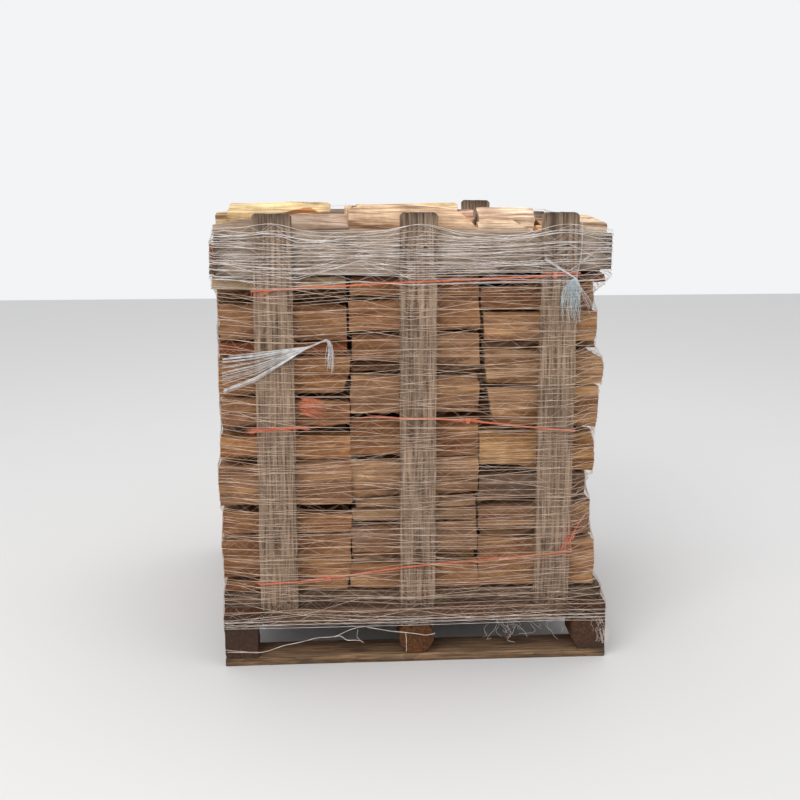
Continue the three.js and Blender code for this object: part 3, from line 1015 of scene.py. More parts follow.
packing = {
    "front": -0.343,
    "topFront": -0.243,
    "back": 0.470,
    "behindRail": 0.446,
    "railLevel": 0.95,      # courses above this end at the board laid across at the back
    "pitch": 0.104,
    "wave": 0.004,
}

# cream tints of the top course: the wood's own pale colour with painted sunlight on the top of the stack
sunPaintedCreamTints = [
    (236, 206, 168), (224, 186, 146), (240, 210, 178), (212, 170, 126), (198, 152, 108), (228, 198, 154),
]

# logs on top that stand out: ends, section as (y, z) corners, slope of the top along the log, tint,
# weathering. The pale cream tints are the wood's own pale colour with painted sunlight on the top of the
# stack, and the two brown tints are painted shade
topLogs = {
    "left": [
        (-0.466, -0.214,
         [(-0.345, 1.085), (-0.245, 1.085), (-0.250, 1.160), (-0.292, 1.187), (-0.345, 1.164)],
         0.07, (240, 212, 162), 0.0),
        # brown tint: painted shade over the right end of the cream top log, with the end's own darker wood
        (-0.330, -0.210,
         [(-0.352, 1.100), (-0.300, 1.100), (-0.296, 1.168), (-0.318, 1.176), (-0.352, 1.170)],
         -0.24, (196, 134, 78), 0.0),
        (-0.504, -0.400,
         [(-0.345, 1.085), (-0.262, 1.085), (-0.262, 1.148), (-0.300, 1.164), (-0.345, 1.157)],
         0.06, (240, 214, 172), 0.0),
        (-0.205, -0.172,
         [(-0.343, 1.085), (-0.250, 1.085), (-0.255, 1.130), (-0.340, 1.140)],
         0.0, (196, 160, 118), 0.2),
    ],
    "middle": [
        (-0.150, 0.118,
         [(-0.343, 1.085), (-0.245, 1.085), (-0.248, 1.166), (-0.300, 1.182), (-0.343, 1.166)],
         0.05, (236, 206, 160), 0.0),
        (0.124, 0.160,
         [(-0.343, 1.085), (-0.245, 1.085), (-0.250, 1.150), (-0.300, 1.166), (-0.343, 1.158)],
         0.30, (222, 184, 160), 0.0),
    ],
    "right": [
        (0.166, 0.300,
         [(-0.446, 1.060), (-0.350, 1.060), (-0.352, 1.128), (-0.396, 1.146), (-0.446, 1.130)],
         -0.10, (250, 224, 192), 0.0),
        (0.172, 0.318,
         [(-0.347, 1.075), (-0.245, 1.075), (-0.247, 1.156), (-0.290, 1.169), (-0.345, 1.150)],
         0.05, (244, 216, 190), 0.0),
        (0.312, 0.386,
         [(-0.446, 1.060), (-0.350, 1.060), (-0.352, 1.122), (-0.400, 1.136), (-0.446, 1.126)],
         -0.10, (214, 164, 116), 0.0),
        # brown tint: painted shadow line between the cream logs in front and behind
        (0.326, 0.400,
         [(-0.345, 1.075), (-0.245, 1.075), (-0.247, 1.120), (-0.300, 1.138), (-0.345, 1.130)],
         0.05, (196, 146, 104), 0.0),
        (0.392, 0.470,
         [(-0.446, 1.060), (-0.352, 1.060), (-0.352, 1.140), (-0.396, 1.162), (-0.446, 1.142)],
         0.50, (246, 220, 190), 0.0),
    ],
}


def crownAt(levels, y):
    share = (y - packing["front"]) / (packing["behindRail"] - packing["front"]) * (len(levels) - 1)
    share = min(max(share, 0), len(levels) - 1.001)
    i = int(share)
    return levels[i] + (levels[i + 1] - levels[i]) * (share - i)


def courseLine(level, phase):
    # the wavy height at which one course lies on the next
    return lambda y: level + packing["wave"] * math.sin(y * 9 + phase)


def crownLine(levels):
    return lambda y: crownAt(levels, y)


def courseCells(front, back, lowAt, highAt):
    # logs of one course, side by side, their splits leaning one way and the other
    count = max(2, round((back - front) / packing["pitch"]))
    pitch = (back - front) / count
    lean = chance.choice((-1, 1))
    cells = []
    lower = [front]
    upper = [front]
    for i in range(1, count):
        middle = front + i * pitch + chance.uniform(-0.16, 0.16) * pitch
        shift = lean * chance.uniform(0.10, 0.36) * pitch
        lower.append(middle - shift)
        upper.append(middle + shift)
        lean = -lean
    lower.append(back)
    upper.append(back)
    for i in range(count):
        y0, y1, y2, y3 = lower[i], lower[i + 1], upper[i + 1], upper[i]
        cells.append([(y0, lowAt(y0)), (y1, lowAt(y1)), (y2, highAt(y2)), (y3, highAt(y3))])
    return cells


def cellLog(corners, fromX, toX, gap):
    # a wedge with its pith near its narrow side and often bark on its wide side
    lowerWidth = corners[1][0] - corners[0][0]
    upperWidth = corners[2][0] - corners[3][0]
    height = (corners[2][1] + corners[3][1] - corners[0][1] - corners[1][1]) / 2
    pointsUp = lowerWidth > upperWidth
    near = (corners[2], corners[3]) if pointsUp else (corners[0], corners[1])
    pithY = (near[0][0] + near[1][0]) / 2 + chance.uniform(-0.3, 0.3) * min(lowerWidth, upperWidth)
    pithZ = (near[0][1] + near[1][1]) / 2 + (0.08 if pointsUp else -0.08) * height * chance.uniform(-1, 3)
    radius = height * chance.uniform(1.0, 1.10)
    if chance.random() < 0.25:
        radius = height * 1.7
    slide = chance.uniform(-0.007, 0.007)
    return plainLog(fromX + slide, toX + slide + chance.uniform(-0.006, 0.004), (pithY, pithZ), radius,
                    sectionCuts(corners, gap), None, 0.04)


# small logs of the front row that differ from the rest
smallLooks = {
    ("left", 1.016): {"fromX": -0.514, "pith": (-0.360, 1.055), "radius": 0.087, "tint": (150, 112, 82)},
    ("left", 0.980): {"fromX": -0.509, "tint": (186, 160, 122), "grey": 0.5},
    ("left", 0.815): {"tint": (120, 62, 34), "grey": 0.0},
    ("right", 0.992): {"toX": 0.479, "tint": (150, 88, 46), "grey": 0.0},
    ("right", 1.014): {"toX": 0.470, "tint": (160, 112, 74), "grey": 0.0},
    ("middle", 0.962): {"tint": (150, 104, 66), "grey": 0.0},
}


def topCellLog(corners, fromX, toX, gap):
    # nothing lies on these logs, so each has its own ridge and its own length
    dropRight, dropLeft = [chance.uniform(-0.004, 0.028) for i in range(2)]
    peak = chance.uniform(0.002, 0.010)
    a, b, c, d = corners
    c = (c[0], c[1] - dropRight)
    d = (d[0], d[1] - dropLeft)
    share = chance.uniform(0.25, 0.75)
    ridge = (d[0] + (c[0] - d[0]) * share, d[1] + (c[1] - d[1]) * share + peak)
    start = fromX + chance.uniform(0, 0.022)
    end = toX - chance.uniform(0, 0.022)
    log = cellLog([a, b, c, d], start, end, gap)
    slope = ((fromX, ridge[0], ridge[1] + 0.012), (chance.uniform(-0.10, 0.10), 0, 1))
    log["cuts"] = sectionCuts([a, b, c, ridge, d], gap) + [slope]
    # the top course takes the cream tints, with their painted sunlight
    log["tint"] = chance.choice(sunPaintedCreamTints)
    return log


def buildCourses(side, plan, work):
    fromX, toX = plan["span"]
    courses = plan["courses"]
    lowAt = lambda y: courses[0]
    for k, level in enumerate(courses):
        phase = chance.uniform(0, 6)
        last = k == len(courses) - 1
        back = packing["behindRail"] if level > packing["railLevel"] else packing["back"]
        front = packing["topFront"] if last else packing["front"]
        highAt = crownLine(plan["crown"]) if last else courseLine(courses[k + 1], phase)
        cells = courseCells(front, back, lowAt, highAt)
        lowAt = highAt
        pieces = []
        for i, corners in enumerate(cells):
            # only the logs that show are divided finely
            shown = last or i in (0, len(cells) - 1)
            makeLog = topCellLog if last else cellLog
            log = makeLog(corners, fromX, toX, work["gap"])
            pieces.append(splitLog(log, 0.022 if shown else 0.11, 0.012 if shown else 0, 22))
        piece = joinPieces(pieces, f"course{side.capitalize()}{k + 1}")
        roughenLog(piece, work)
        settle(piece, "split_log", "logs_behind_" + side)


def standOutLog(fromX, toX, corners, slope, tint, grey):
    cuts = sectionCuts(corners, 0.001)
    peak = max(z for y, z in corners)
    cuts.append((((fromX + toX) / 2, 0, peak + 0.001), (slope, 0, 1)))
    if slope < -0.05:
        cuts.append(((toX - 0.055, 0, peak), (0.5, 0, 1)))
    return plainLog(fromX, toX, (corners[1][0], corners[1][1] - 0.03), 0.17, cuts, tint, 0.09, grey)


def smallLogOf(side, span, floor, top, reach):
    # a smaller log of the front row
    height = top - floor
    shift = chance.uniform(-0.15, 0.15) * height
    corners = [(-reach, floor + 0.1 * height), (-reach + 0.02, floor), (-0.348, floor + 0.004),
               (-0.348, top - 0.004 + shift * 0.1), (-reach + 0.016, top)]
    pith = (-0.40 + chance.uniform(-0.03, 0.03), floor - height * chance.uniform(0.2, 0.9))
    fromX = span[0] + chance.uniform(0, 0.008)
    toX = span[1] - chance.uniform(0, 0.008)
    look = smallLooks.get((side, floor), {})
    return plainLog(look.get("fromX", fromX), look.get("toX", toX), look.get("pith", pith),
                    look.get("radius", height * 2.2 + 0.05), sectionCuts(corners, 0.001), look.get("tint"),
                    0.06, look.get("grey"))


def buildSmallLogs(side, plan, work):
    pieces = []
    for row in topLogs[side]:
        pieces.append(splitLog(standOutLog(*row), work["longStep"] * 1.3, work["crossStep"] * 1.3, 30))
    for row in plan["small"]:
        log = smallLogOf(side, plan["span"], *row)
        pieces.append(splitLog(log, work["longStep"] * 1.3, work["crossStep"] * 1.4, 30))
    piece = joinPieces(pieces, "smallLogs" + side.capitalize())
    roughenLog(piece, work)
    settle(piece, "split_log", "logs_behind_" + side)


twineWork = {
    "clear": 0.0036,        # from a post's outer face to the middle of the twine
    "strandRadius": 0.0017,
    "twistRadius": 0.0013,
    "twistPitch": 0.017,
    "knotSize": 0.007,
    "fibreRadius": 0.0009,
    "legFront": -0.464,
    "legBack": 0.480,
}

# the front line of each turn as (x, z), or (x, z, how much further back), then the heights of its
# legs and of its start, and where it is knotted
twineTurns = {
    "lower": {
        "front": [(-0.352, 0.227), (-0.308, 0.230), (-0.230, 0.238), (-0.044, 0.262), (0.048, 0.270),
                  (0.308, 0.288), (0.397, 0.295)],
        "rightLeg": 0.332, "leftLeg": 0.218, "start": 0.226, "knot": (-0.230, 0.238),
    },
    "middle": {
        "front": [(-0.352, 0.634), (-0.308, 0.638), (-0.298, 0.632, 0.030), (-0.275, 0.622, 0.062),
                  (-0.110, 0.650, 0.066), (-0.062, 0.652, 0.036), (-0.044, 0.658), (0.048, 0.656),
                  (0.127, 0.650), (0.308, 0.628), (0.397, 0.619)],
        "rightLeg": 0.6105, "leftLeg": 0.620, "start": 0.632, "knot": (0.127, 0.650),
    },
    "upper": {
        "front": [(-0.352, 0.985), (-0.308, 0.988), (-0.044, 1.001), (0.048, 1.004), (0.308, 1.014),
                  (0.397, 1.022)],
        "rightLeg": 1.004, "leftLeg": 0.962, "start": 0.983, "knot": (0.340, 1.0165),
    },
}


def twineLimits():
    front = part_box("post_front_left")[0].y
    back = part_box("post_back_left")[1].y
    clear = twineWork["clear"]
    return {
        "front": front, "back": back,
        "rightFront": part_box("post_front_right")[1].x + clear,
        "rightBack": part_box("post_back_right")[1].x + clear,
        "leftFront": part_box("post_front_left")[0].x - clear,
        "leftBack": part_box("post_back_left")[0].x - clear,
        "middleBack": boxMiddle(*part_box("post_back_middle"))[0],
        "inside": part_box("post_front_left")[1].y - 0.002,
    }


def cornerRound(legX, xSign, ySign, faceY, height):
    clear = twineWork["clear"]
    points = []
    for angle in (0, math.pi / 4, math.pi / 2):
        x = legX - xSign * clear + xSign * clear * math.sin(angle)
        points.append((x, faceY + ySign * clear * math.cos(angle), height))
    return points


def twinePath(turn):
    limits = twineLimits()
    front = limits["front"] - twineWork["clear"]
    back = limits["back"] + twineWork["clear"]
    legFront, legBack = twineWork["legFront"], twineWork["legBack"]
    endZ = turn["front"][-1][1]
    rightLeg, leftLeg, start = turn["rightLeg"], turn["leftLeg"], turn["start"]
    return (
        [(x, front + (inward[0] if inward else 0), z) for x, z, *inward in turn["front"]]
        + cornerRound(limits["rightFront"], 1, -1, limits["front"], endZ)
        + [(limits["rightFront"], limits["inside"], (endZ + 2 * rightLeg) / 3),
           (limits["rightFront"], legFront, rightLeg), (limits["rightBack"], legBack, rightLeg)]
        + cornerRound(limits["rightBack"], 1, 1, limits["back"], rightLeg)[::-1]
        + [(limits["middleBack"], back, (rightLeg + leftLeg) / 2)]
        + cornerRound(limits["leftBack"], -1, 1, limits["back"], leftLeg)
        + [(limits["leftBack"], legBack, leftLeg), (limits["leftFront"], legFront, leftLeg),
           (limits["leftFront"], limits["inside"], (start + 2 * leftLeg) / 3)]
        + cornerRound(limits["leftFront"], -1, -1, limits["front"], start)[::-1]
    )


def evenly(points, step, closed):
    # points along a polyline, no further apart than step
    points = [Vector(p) for p in points]
    if closed:
        points = points + [points[0]]
    walk = []
    for a, b in zip(points, points[1:]):
        parts = max(1, math.ceil((b - a).length / step))
        walk += [a.lerp(b, i / parts) for i in range(parts)]
    if not closed:
        walk.append(points[-1])
    return walk


def addLines(name, lines, radius, closed=False, sides=0):
    # every line is a list of points, or of (point, thickness share)
    curve = bpy.data.curves.new(name, "CURVE")
    curve.dimensions = "3D"
    curve.bevel_depth = radius
    curve.bevel_resolution = sides
    curve.use_fill_caps = True
    for line in lines:
        shares = isinstance(line[0][0], (tuple, Vector))
        spline = curve.splines.new("POLY")
        spline.points.add(len(line) - 1)
        flat = []
        for entry in line:
            flat += [*(entry[0] if shares else entry), 1.0]
        spline.points.foreach_set("co", flat)
        if shares:
            spline.points.foreach_set("radius", [entry[1] for entry in line])
        spline.use_cyclic_u = closed
    piece = bpy.data.objects.new(name, curve)
    bpy.context.collection.objects.link(piece)
    pickOnly(piece)
    bpy.ops.object.convert(target="MESH")
    piece = bpy.context.object
    piece.name = name
    return piece


def twisted(path, pitch, radius, start, strands, closed):
    # strands wound round a path
    walk = evenly(path, pitch / 6, closed)
    count = len(walk)
    lines = [[] for i in range(strands)]
    angle = start
    for i, point in enumerate(walk):
        before = walk[i - 1] if (closed or i) else point
        after = walk[(i + 1) % count] if (closed or i < count - 1) else point
        along = (after - before).normalized()
        side = along.cross(Vector((0, 0, 1))) if abs(along.z) < 0.9 else along.cross(Vector((0, 1, 0)))
        side.normalize()
        up = side.cross(along)
        angle += 2 * math.pi * (after - point).length / pitch
        for k in range(strands):
            turn = angle + 2 * math.pi * k / strands
            lines[k].append(point + radius * (math.cos(turn) * side + math.sin(turn) * up))
    return lines


def frayedFibres(origin, direction, count, length, spread):
    # loose fibres that fan out from a point
    fibres = []
    for i in range(count):
        aim = Vector(direction) + Vector([chance.uniform(-spread, spread) for k in range(3)])
        aim.normalize()
        reach = length * chance.uniform(0.5, 1.1)
        droop = chance.uniform(0.0, 0.35)
        line = []
        for k in range(5):
            share = k / 4
            point = Vector(origin) + aim * reach * share
            point.z -= droop * reach * share * share
            line.append((point, 1.0 - 0.6 * share))
        fibres.append(line)
    return fibres


def knotLoops(centre, size):
    # an overhand knot: a few tight turns round the twine
    loops = []
    for k in range(3):
        loop = []
        lean = chance.uniform(-0.5, 0.5)
        for i in range(14):
            angle = i / 13 * 2 * math.pi * 1.15
            loop.append((
                centre[0] + (k - 1) * size * 0.45 + lean * size * 0.5 * math.sin(angle),
                centre[1] - size * 0.45 + size * 0.75 * math.cos(angle) * 0.7,
                centre[2] + size * 0.8 * math.sin(angle),
            ))
        loops.append(loop)
    return loops


# sprays of loose fibres: where (x, how far before the twine, z), which way, number, length and spread
twineSprays = {
    "lower": [((0.374 + 0.006 * i, 0.001, 0.297 + 0.006 * i), (0.30, -0.02, 1.0), 3, 0.070, 0.16)
              for i in range(6)] + [((-0.355, 0, 0.229), (-1, -0.1, -0.2), 4, 0.03, 0.3)],
    "middle": [],
    "upper": [((0.325, 0, 1.015), (-1, -0.05, 0.1), 5, 0.05, 0.12),
              ((-0.36, 0, 0.983), (-1, -0.05, -0.1), 6, 0.035, 0.2)],
}
frayedStretch = {"x": (-0.395, -0.315), "z": 0.634, "places": 9, "slope": 0.08, "slopeStart": -0.352}
twineSnarl = {"x": (-0.300, -0.285), "y": -0.4965, "z": (0.672, 0.712), "number": 16}


def middleSprays(front):
    # the middle turn is frayed along its left end, and a snarl of it lies loose behind the net
    tails = []
    for x in np.linspace(*frayedStretch["x"], frayedStretch["places"]):
        z = frayedStretch["z"] + frayedStretch["slope"] * (x - frayedStretch["slopeStart"])
        tails += frayedFibres((x, front - 0.001, z), (chance.choice((-1, 1)), -0.05, 0.15), 6, 0.045, 0.16)
    for i in range(twineSnarl["number"]):
        z = chance.uniform(*twineSnarl["z"])
        x = chance.uniform(*twineSnarl["x"])
        aim = (1, 0.0, chance.uniform(-0.25, 0.25))
        tails += frayedFibres((x, twineSnarl["y"], z), aim, 2, 0.060, 0.12)
    return tails


def buildTwine(work):
    front = twineLimits()["front"] - work["clear"]
    for height, turn in twineTurns.items():
        name = "twineLoop" + height.capitalize()
        phase = chance.uniform(0, 6)
        lines = twisted(twinePath(turn), work["twistPitch"], work["twistRadius"], phase, 3, True)
        twine = addLines(name, lines, work["strandRadius"] * 0.8, True)
        knotX, knotZ = turn["knot"]
        knot = addLines("knot", knotLoops((knotX, front, knotZ), work["knotSize"]), 0.0021, False, 1)
        tails = []
        for sign in (-1, 1):
            tails += frayedFibres((knotX, front - 0.002, knotZ), (sign, -0.1, 0.35), 6, 0.040, 0.35)
        for (x, ahead, z), aim, count, length, spread in twineSprays[height]:
            tails += frayedFibres((x, front - ahead, z), aim, count, length, spread)
        if height == "middle":
            tails += middleSprays(front)
        fibres = addLines("tails", tails, work["fibreRadius"])
        for part in (twine, knot, fibres):
            coverWith(part, twineLook)
        piece = joinPieces([twine, knot, fibres], name)
        shadeByAngle(piece, 60)
        settle(piece, "twine", "twine_" + height)
    print("twine ready")


netWork = {
    "bottom": 0.106,
    "top": 1.130,
    "clear": 0.0016,        # from the stack to the middle of a thread
    "threadRadius": 0.00060,
    "linkRadius": 0.00022,
    "linkStep": 0.036,
    "girth": 4.05,
    "hem": 0.020,
    # how far apart the threads are, up to each height
    "spacing": [(0.126, 0.0045), (0.60, 0.0084), (0.95, 0.0098), (1.015, 0.0080), (9.0, 0.0052)],
    "samples": 320,
    "levelStep": 0.006,
    "levelReach": 0.009,
}


def hullOf(points):
    # convex outline of flat points, in turn
    points = sorted(set(map(tuple, points)))

    def half(ordered):
        chain = []
        for p in ordered:
            while len(chain) > 1 and (
                (chain[-1][0] - chain[-2][0]) * (p[1] - chain[-2][1])
                - (chain[-1][1] - chain[-2][1]) * (p[0] - chain[-2][0])
            ) <= 0:
                chain.pop()
            chain.append(p)
        return chain[:-1]

    return np.array(half(points) + half(points[::-1]))


def gatherPoints():
    # the outer points of all that the net lies on
    found = []
    for piece in bpy.context.scene.objects:
        if piece.type != "MESH" or piece.hide_render or piece.get("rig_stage") or "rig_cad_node" in piece:
            continue
        co = readAll(piece.data.vertices, "co", 3)
        outer = (np.abs(co[:, 0]) > 0.40) | (np.abs(co[:, 1]) > 0.42)
        found.append(co[outer & (co[:, 2] > 0.08)])
    # boards have few points along their length, so their corners are repeated at every height
    boards = [f"post_{place}_{side}" for place in ("front", "back") for side in ("left", "middle", "right")]
    boards += ["rail_front", "rail_back", "deck_plank_1", "deck_plank_5", "cross_board_front"]
    boards += [f"joist_{side}" for side in ("left", "middle", "right")]
    for node in boards:
        low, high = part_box(node)
        levels = np.arange(low.z, high.z, 0.004)
        for x in (low.x - 0.0012, high.x + 0.0012):
            for y in (low.y - 0.0014, high.y + 0.0014):
                found.append(np.column_stack([np.full(len(levels), x), np.full(len(levels), y), levels]))
    return np.concatenate(found)


class Wrap:
    # how far out a taut thread lies at each height, on its way round the stack
    def __init__(self, work):
        self.step = work["levelStep"]
        self.ring = self.directions(work["samples"])
        self.levels = np.arange(0.09, 1.20, self.step)
        self.table = np.zeros((len(self.levels), work["samples"]))
        points = gatherPoints()
        for i, level in enumerate(self.levels):
            near = points[np.abs(points[:, 2] - level) < work["levelReach"]]
            if len(near) < 8:
                self.table[i] = self.table[i - 1]
                continue
            hull = hullOf(np.round(near[:, :2], 4))
            edge = np.roll(hull, -1, axis=0) - hull
            normal = np.stack([edge[:, 1], -edge[:, 0]], axis=1)
            normal /= np.linalg.norm(normal, axis=1)[:, None] + 1e-12
            reach = (normal * hull).sum(1) + work["clear"]
            facing = self.ring @ normal.T
            distance = np.where(facing > 1e-3, reach / np.maximum(facing, 1e-3), 9.0)
            self.table[i] = distance.min(1)
        # a taut net bridges small hollows between one log and the next
        for gap in (1, 2):
            above = np.roll(self.table, gap, axis=0)
            below = np.roll(self.table, -gap, axis=0)
            self.table = np.maximum(self.table, (above + below) / 2)

    def directions(self, samples):
        # the ways from the middle to points spread evenly along a square: front, right, back, left
        share = (np.arange(samples) + 0.5) / samples * 4
        side = share.astype(int)
        run = (share - side) * 2 - 1
        ring = np.zeros((samples, 2))
        sides = (((1, 0), (0, -1)), ((0, 1), (1, 0)), ((-1, 0), (0, 1)), ((0, -1), (-1, 0)))
        for k, (along, out) in enumerate(sides):
            mine = side == k
            ring[mine] = run[mine, None] * np.array(along) + np.array(out)
        return ring / np.linalg.norm(ring, axis=1)[:, None]

    def place(self, sample, z):
        level = np.clip((z - self.levels[0]) / self.step, 0, len(self.levels) - 1.001)
        low = level.astype(int)
        part = level - low
        reach = self.table[low, sample] * (1 - part) + self.table[low + 1, sample] * part
        flat = self.ring[sample] * reach[:, None]
        return np.column_stack([flat, z])


def threadHeights(work):
    heights = []
    z = work["bottom"]
    while z < work["top"]:
        heights.append(z)
        z += next(step for limit, step in work["spacing"] if z < limit)
    return heights


def thinned(points, closeness):
    # leaves out points that a straight thread passes anyway
    keep = [0]
    i = 0
    count = len(points)
    while i < count - 1:
        j = min(i + 14, count - 1)
        while j > i + 1:
            between = points[i + 1:j]
            along = points[j] - points[i]
            length = np.linalg.norm(along) + 1e-12
            away = np.linalg.norm(np.cross(between - points[i], along / length), axis=1)
            if away.max() < closeness:
                break
            j -= 1
        keep.append(j)
        i = j
    return points[keep[:-1] if np.allclose(points[keep[-1]], points[0]) else keep]


def threadLines(work, dice):
    # the height of every thread at each place round the stack
    count = work["samples"]
    along = np.arange(count) / count
    # the net catches on boards and corners, and its threads kink there
    catches = np.sort(np.linspace(0, 1, 25)[:-1] + dice.uniform(-0.01, 0.01, 24))
    catches = np.clip(catches, 0, 0.999)

    def kinked(size):
        values = dice.normal(0, size, len(catches))
        return np.interp(along, np.append(catches, catches[0] + 1), np.append(values, values[0]), period=1)

    # slow waves, one for each of the two ways in which the threads run, and kinks that neighbours share
    waves = (-np.sin(2 * math.pi * 2 * along + 0.4), np.sin(2 * math.pi * along + 1.1))
    shared = [kinked(0.0035), kinked(0.0035)]
    # along runs from 0 to 0.25 on the front, where the net is hooked up on the tops of the uprights
    xAt = -0.5 + along * 4
    hooked = np.zeros(count)
    for side in ("left", "middle", "right"):
        centre = boxMiddle(*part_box("post_front_" + side))[0]
        hooked = np.maximum(hooked, np.exp(-((xAt - centre) / 0.075) ** 2) * (along < 0.25))
    threads = []
    for i, height in enumerate(threadHeights(work)):
        family = i % 2
        if i % 9 == 0:
            shared = [0.6 * kinks + kinked(0.003) for kinks in shared]
        if height < work["bottom"] + work["hem"]:
            wave, share, wander = 0.002, 0.4, 0.001
        else:
            wave, share, wander = 0.006, 1.0, 0.013 if i % 4 == 2 else 0.0034
        z = height + wave * waves[family] + shared[family] * share + kinked(wander)
        lift = np.clip((height - 1.085) / 0.045, 0, 1)
        if lift > 0:
            z = z + lift * (0.026 * hooked - 0.004)
        threads.append(np.clip(z, work["bottom"] - 0.004, 1.165))
    return threads


def linkLine(work, dice, wrap, lower, upper):
    # a thin thread that zigzags between two others
    count = work["samples"]
    steps = int(work["girth"] / work["linkStep"] / 2) * 2
    start = dice.uniform(0, 1)
    line = []
    for k in range(steps):
        at = (k + start) / steps + dice.uniform(-0.0030, 0.0030)
        sample = int(at * count) % count
        z = (lower if k % 2 else upper)[sample]
        place = wrap.place(np.array([sample]), np.array([z]))[0]
        line.append(tuple(place * np.array([1.0006, 1.0006, 1])))
    return line


def buildNet(work):
    wrap = Wrap(work)
    dice = np.random.default_rng(7)
    threads = threadLines(work, dice)
    everySample = np.arange(work["samples"])
    lines = [[tuple(p) for p in thinned(wrap.place(everySample, z), 0.0004)] for z in threads]
    strands = addLines("netThreads", lines, work["threadRadius"], True)
    links = [linkLine(work, dice, wrap, threads[i], threads[i + 2 if i % 2 else i + 1])
             for i in range(len(threads) - 2)]
    joinPieces([strands, addLines("netLinks", links, work["linkRadius"], True)], "netThreads")
    coverWith(strands, netLook)
    settle(strands, "net", "net_sleeve")
    print("net ready:", len(lines), "threads and", len(links), "links")
    return strands


def bundle(path, widths, count, waviness):
    # threads that run side by side along a path, spread as wide as widths says at each point of it
    threads = []
    for i in range(count):
        side = (chance.uniform(-1, 1), chance.uniform(-1, 1), chance.uniform(-1, 1))
        phase = chance.uniform(0, 6)
        thread = []
        for k, (point, width) in enumerate(zip(path, widths)):
            wave = waviness * math.sin(phase + 1.7 * k)
            thread.append((
                point[0] + side[0] * width * 0.5 + wave,
                point[1] + side[1] * min(width, 0.004) * 0.5,
                point[2] + side[2] * width * 0.5 + wave * 0.6,
            ))
        threads.append(thread)
    return threads


def trimmed(threads, cuts):
    # threads of uneven length
    return [thread[:len(thread) - chance.choice(cuts)] for thread in threads]


def shakyThread(start, step):
    # a loose thread through six points, each a little off the last
    path = [start]
    for k in range(5):
        path.append(step(path[-1]))
    return smoothPath(path, 3)


def smoothPath(points, parts=6):
    # a rounded line through a few points
    ends = [points[0]] + list(points) + [points[-1]]
    walk = []
    for i in range(1, len(ends) - 2):
        a, b, c, d = (Vector(p) for p in ends[i - 1:i + 3])
        for k in range(parts):
            t = k / parts
            walk.append(tuple(0.5 * ((2 * b) + (c - a) * t + (2 * a - 5 * b + 4 * c - d) * t * t
                                     + (3 * b - a - 3 * c + d) * t ** 3)))
    walk.append(tuple(points[-1]))
    return walk


# the bunch on the left: the places on the left edge that its threads come from, as (x, z), where they
# meet, the knot, and the tassel that hangs from it
leftGather = {
    "fan": [(-0.485, 0.724), (-0.486, 0.727), (-0.485, 0.731), (-0.487, 0.748), (-0.488, 0.757),
            (-0.488, 0.768), (-0.489, 0.776), (-0.488, 0.790), (-0.487, 0.803), (-0.486, 0.809),
            (-0.470, 0.815), (-0.455, 0.817)],
    "thick": (0, 1, 9),
    "merge": (-0.274, -0.511, 0.842),
    "knot": (-0.236, -0.512, 0.858),
    "tassel": [(-0.236, -0.512, 0.858), (-0.226, -0.515, 0.861), (-0.219, -0.514, 0.846),
               (-0.2195, -0.513, 0.820), (-0.2215, -0.512, 0.786)],
    "tasselThreads": 34,
    "radius": 0.00036,
}

# the bunch on the right: from its start to the node, up and down from there, and a veil that hangs
rightGather = {
    "start": (0.3137, -0.509, 1.0576),
    "node": (0.3902, -0.514, 1.0092),
    "upward": [(0.3902, -0.514, 1.0092), (0.3985, -0.508, 1.0398), (0.4045, -0.506, 1.0777),
               (0.4035, -0.505, 1.158)],
    "tail": [(0.3902, -0.514, 1.0092), (0.4080, -0.508, 0.978), (0.4215, -0.498, 0.960),
             (0.4462, -0.474, 0.9233)],
    "veil": [(0.3900, -0.512, 1.008), (0.3810, -0.511, 0.985), (0.3790, -0.510, 0.950),
             (0.3830, -0.509, 0.915)],
    "veilThreads": 60,
    "radius": 0.00042,
    "veilRadius": 0.00030,
}

# torn threads under the hem, as (x, z)
looseHem = [
    [(-0.4949, 0.0418), (-0.4588, 0.0400), (-0.4026, 0.0390), (-0.3493, 0.0553), (-0.3026, 0.0645),
     (-0.2593, 0.0749), (-0.2163, 0.0775), (-0.1760, 0.0948), (-0.1493, 0.1013), (-0.1227, 0.1040)],
    [(-0.2163, 0.0762), (-0.1996, 0.0782), (-0.1835, 0.0666), (-0.1530, 0.0649), (-0.1397, 0.0580)],
    [(-0.1546, 0.0942), (-0.1579, 0.0765), (-0.1496, 0.0656), (-0.1430, 0.0610)],
    [(-0.1300, 0.1010), (-0.0694, 0.0887), (-0.0132, 0.0812), (0.0237, 0.0748), (0.0470, 0.0790)],
    [(-0.0292, 0.0817), (-0.0276, 0.0500), (-0.0280, 0.0297)],
    [(-0.4990, 0.0480), (-0.4700, 0.0440), (-0.4300, 0.0400), (-0.4026, 0.0388)],
]
hemWork = {"radius": 0.00042, "hazeRadius": 0.00028, "y": -0.5045, "hazeY": -0.5035, "wisps": 18, "haze": 30}


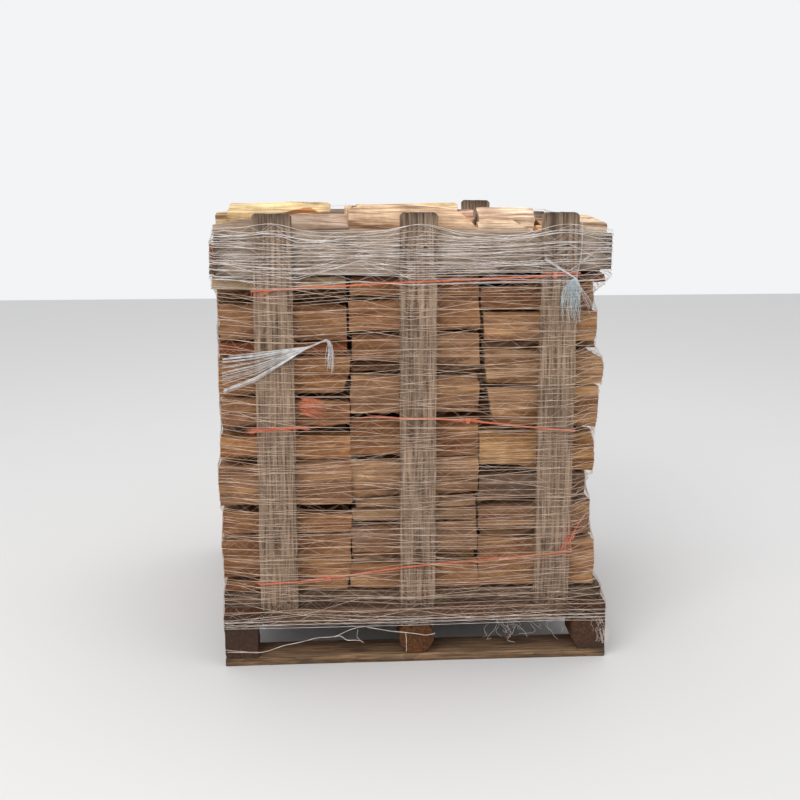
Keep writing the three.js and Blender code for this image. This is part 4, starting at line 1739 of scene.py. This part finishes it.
def buildLeftGather(gather):
    threads = []
    merge, knot = Vector(gather["merge"]), Vector(gather["knot"])
    for i, (x, z) in enumerate(gather["fan"]):
        share = i / (len(gather["fan"]) - 1)
        post = Vector((-0.405, -0.5065 - 0.0005 * i, z + (0.30 + 0.10 * share) * (0.845 - z)))
        joint = merge + Vector((0.012 * (share - 0.5), 0, 0.006 * (share - 0.5)))
        for k in range(6 if i in gather["thick"] else 4):
            jitter = Vector((0, 0, chance.uniform(-0.0035, 0.0035)))
            start = Vector((x, -0.473, z)) + jitter
            threads.append([tuple(p) for p in (start, post + jitter, joint + 0.4 * jitter, knot)])
    neck = [tuple(merge), tuple(merge.lerp(knot, 0.5)), tuple(knot)]
    threads += bundle(neck, [0.006, 0.004, 0.003], 12, 0.0)
    tassel = smoothPath(gather["tassel"], 5)
    widths = [0.003 + 0.017 * min(1, k / 14) ** 2 for k in range(len(tassel))]
    threads += trimmed(bundle(tassel, widths, gather["tasselThreads"], 0.0012), (0, 1, 2, 3, 4, 5, 7))
    return addLines("netGatherLeft", threads, gather["radius"])


def buildRightGather(gather):
    threads = []
    start, node = Vector(gather["start"]), Vector(gather["node"])
    for i in range(16):
        spread = Vector([chance.uniform(-1, 1) * size for size in (0.0015, 0.0015, 0.0032)])
        between = start.lerp(node, 0.5) + spread
        threads.append([tuple(start + 1.5 * spread), tuple(between), tuple(node + spread * 0.25)])
    threads += bundle(smoothPath(gather["upward"], 3), [0.002] * 10, 2, 0.0004)
    tail = smoothPath(gather["tail"], 4)
    threads += bundle(tail, [0.002 + 0.0016 * k for k in range(len(tail))], 7, 0.0006)
    return addLines("netGatherRight", threads, gather["radius"])


def buildVeil(gather):
    veil = smoothPath(gather["veil"], 5)
    widths = [0.003 + 0.044 * min(1, k / 7) for k in range(len(veil))]
    threads = trimmed(bundle(veil, widths, gather["veilThreads"], 0.0014), (0, 0, 1, 2, 4, 6))
    return addLines("netVeil", threads, gather["veilRadius"])


def hemThreads(work):
    threads = []
    for line in looseHem:
        path = smoothPath([(x, work["y"], z) for x, z in line], 4)
        threads += bundle(path, [0.0014] * len(path), 3, 0.0005)

    def wispStep(last):
        return (last[0] + chance.uniform(-0.020, 0.020), last[1] + chance.uniform(-0.012, 0.012),
                max(0.045, last[2] - chance.uniform(0.0, 0.020)))

    # wisps in the right opening
    for i in range(work["wisps"]):
        x = chance.uniform(0.20, 0.40)
        threads.append(shakyThread((x, chance.uniform(-0.49, -0.44), 0.104), wispStep))
    return threads


def hazeThreads(work):
    # torn yarn at the right end of the hem
    def hazeStep(last):
        return (min(0.509, last[0] + chance.uniform(-0.007, 0.009)), work["hazeY"] - chance.uniform(0, 0.004),
                min(0.122, max(0.040, last[2] + chance.uniform(-0.020, 0.006))))

    threads = []
    for i in range(work["haze"]):
        x, z = chance.uniform(0.472, 0.504), chance.uniform(0.070, 0.112)
        threads.append(shakyThread((x, work["hazeY"], z), hazeStep))
    return threads


def buildLooseEnds():
    # where the net is gathered and knotted, and where it hangs loose
    netWhite = makeGatherLook("netGathered", (184, 182, 180), (228, 228, 228))
    netBlue = makeGatherLook("netVeil", (178, 192, 196), (214, 226, 230))
    parts = [
        (buildLeftGather(leftGather), netWhite),
        (buildRightGather(rightGather), netWhite),
        (buildVeil(rightGather), netBlue),
    ]
    hem, haze = hemThreads(hemWork), hazeThreads(hemWork)
    hazePiece = addLines("netHaze", haze, hemWork["hazeRadius"])
    hemPiece = addLines("netLooseEnds", hem, hemWork["radius"])
    parts += [(hemPiece, netLook), (hazePiece, netLook)]
    for part, material in parts:
        coverWith(part, material)
        settle(part, "net")
    print("loose ends ready")
    return [part for part, material in parts]


addCamera(cameraSetup)
addStudio(studio)
print("camera and light ready")
buildPallet()
buildUprights()
buildNails(nailWork)
print("pallet, uprights and nails ready")
buildFrontLogs(logWork)
for side, plan in stackPlan.items():
    buildCourses(side, plan, logWork)
    buildSmallLogs(side, plan, logWork)
    print("column ready:", side)
buildTwine(twineWork)
netThreads = buildNet(netWork)
looseEnds = buildLooseEnds()
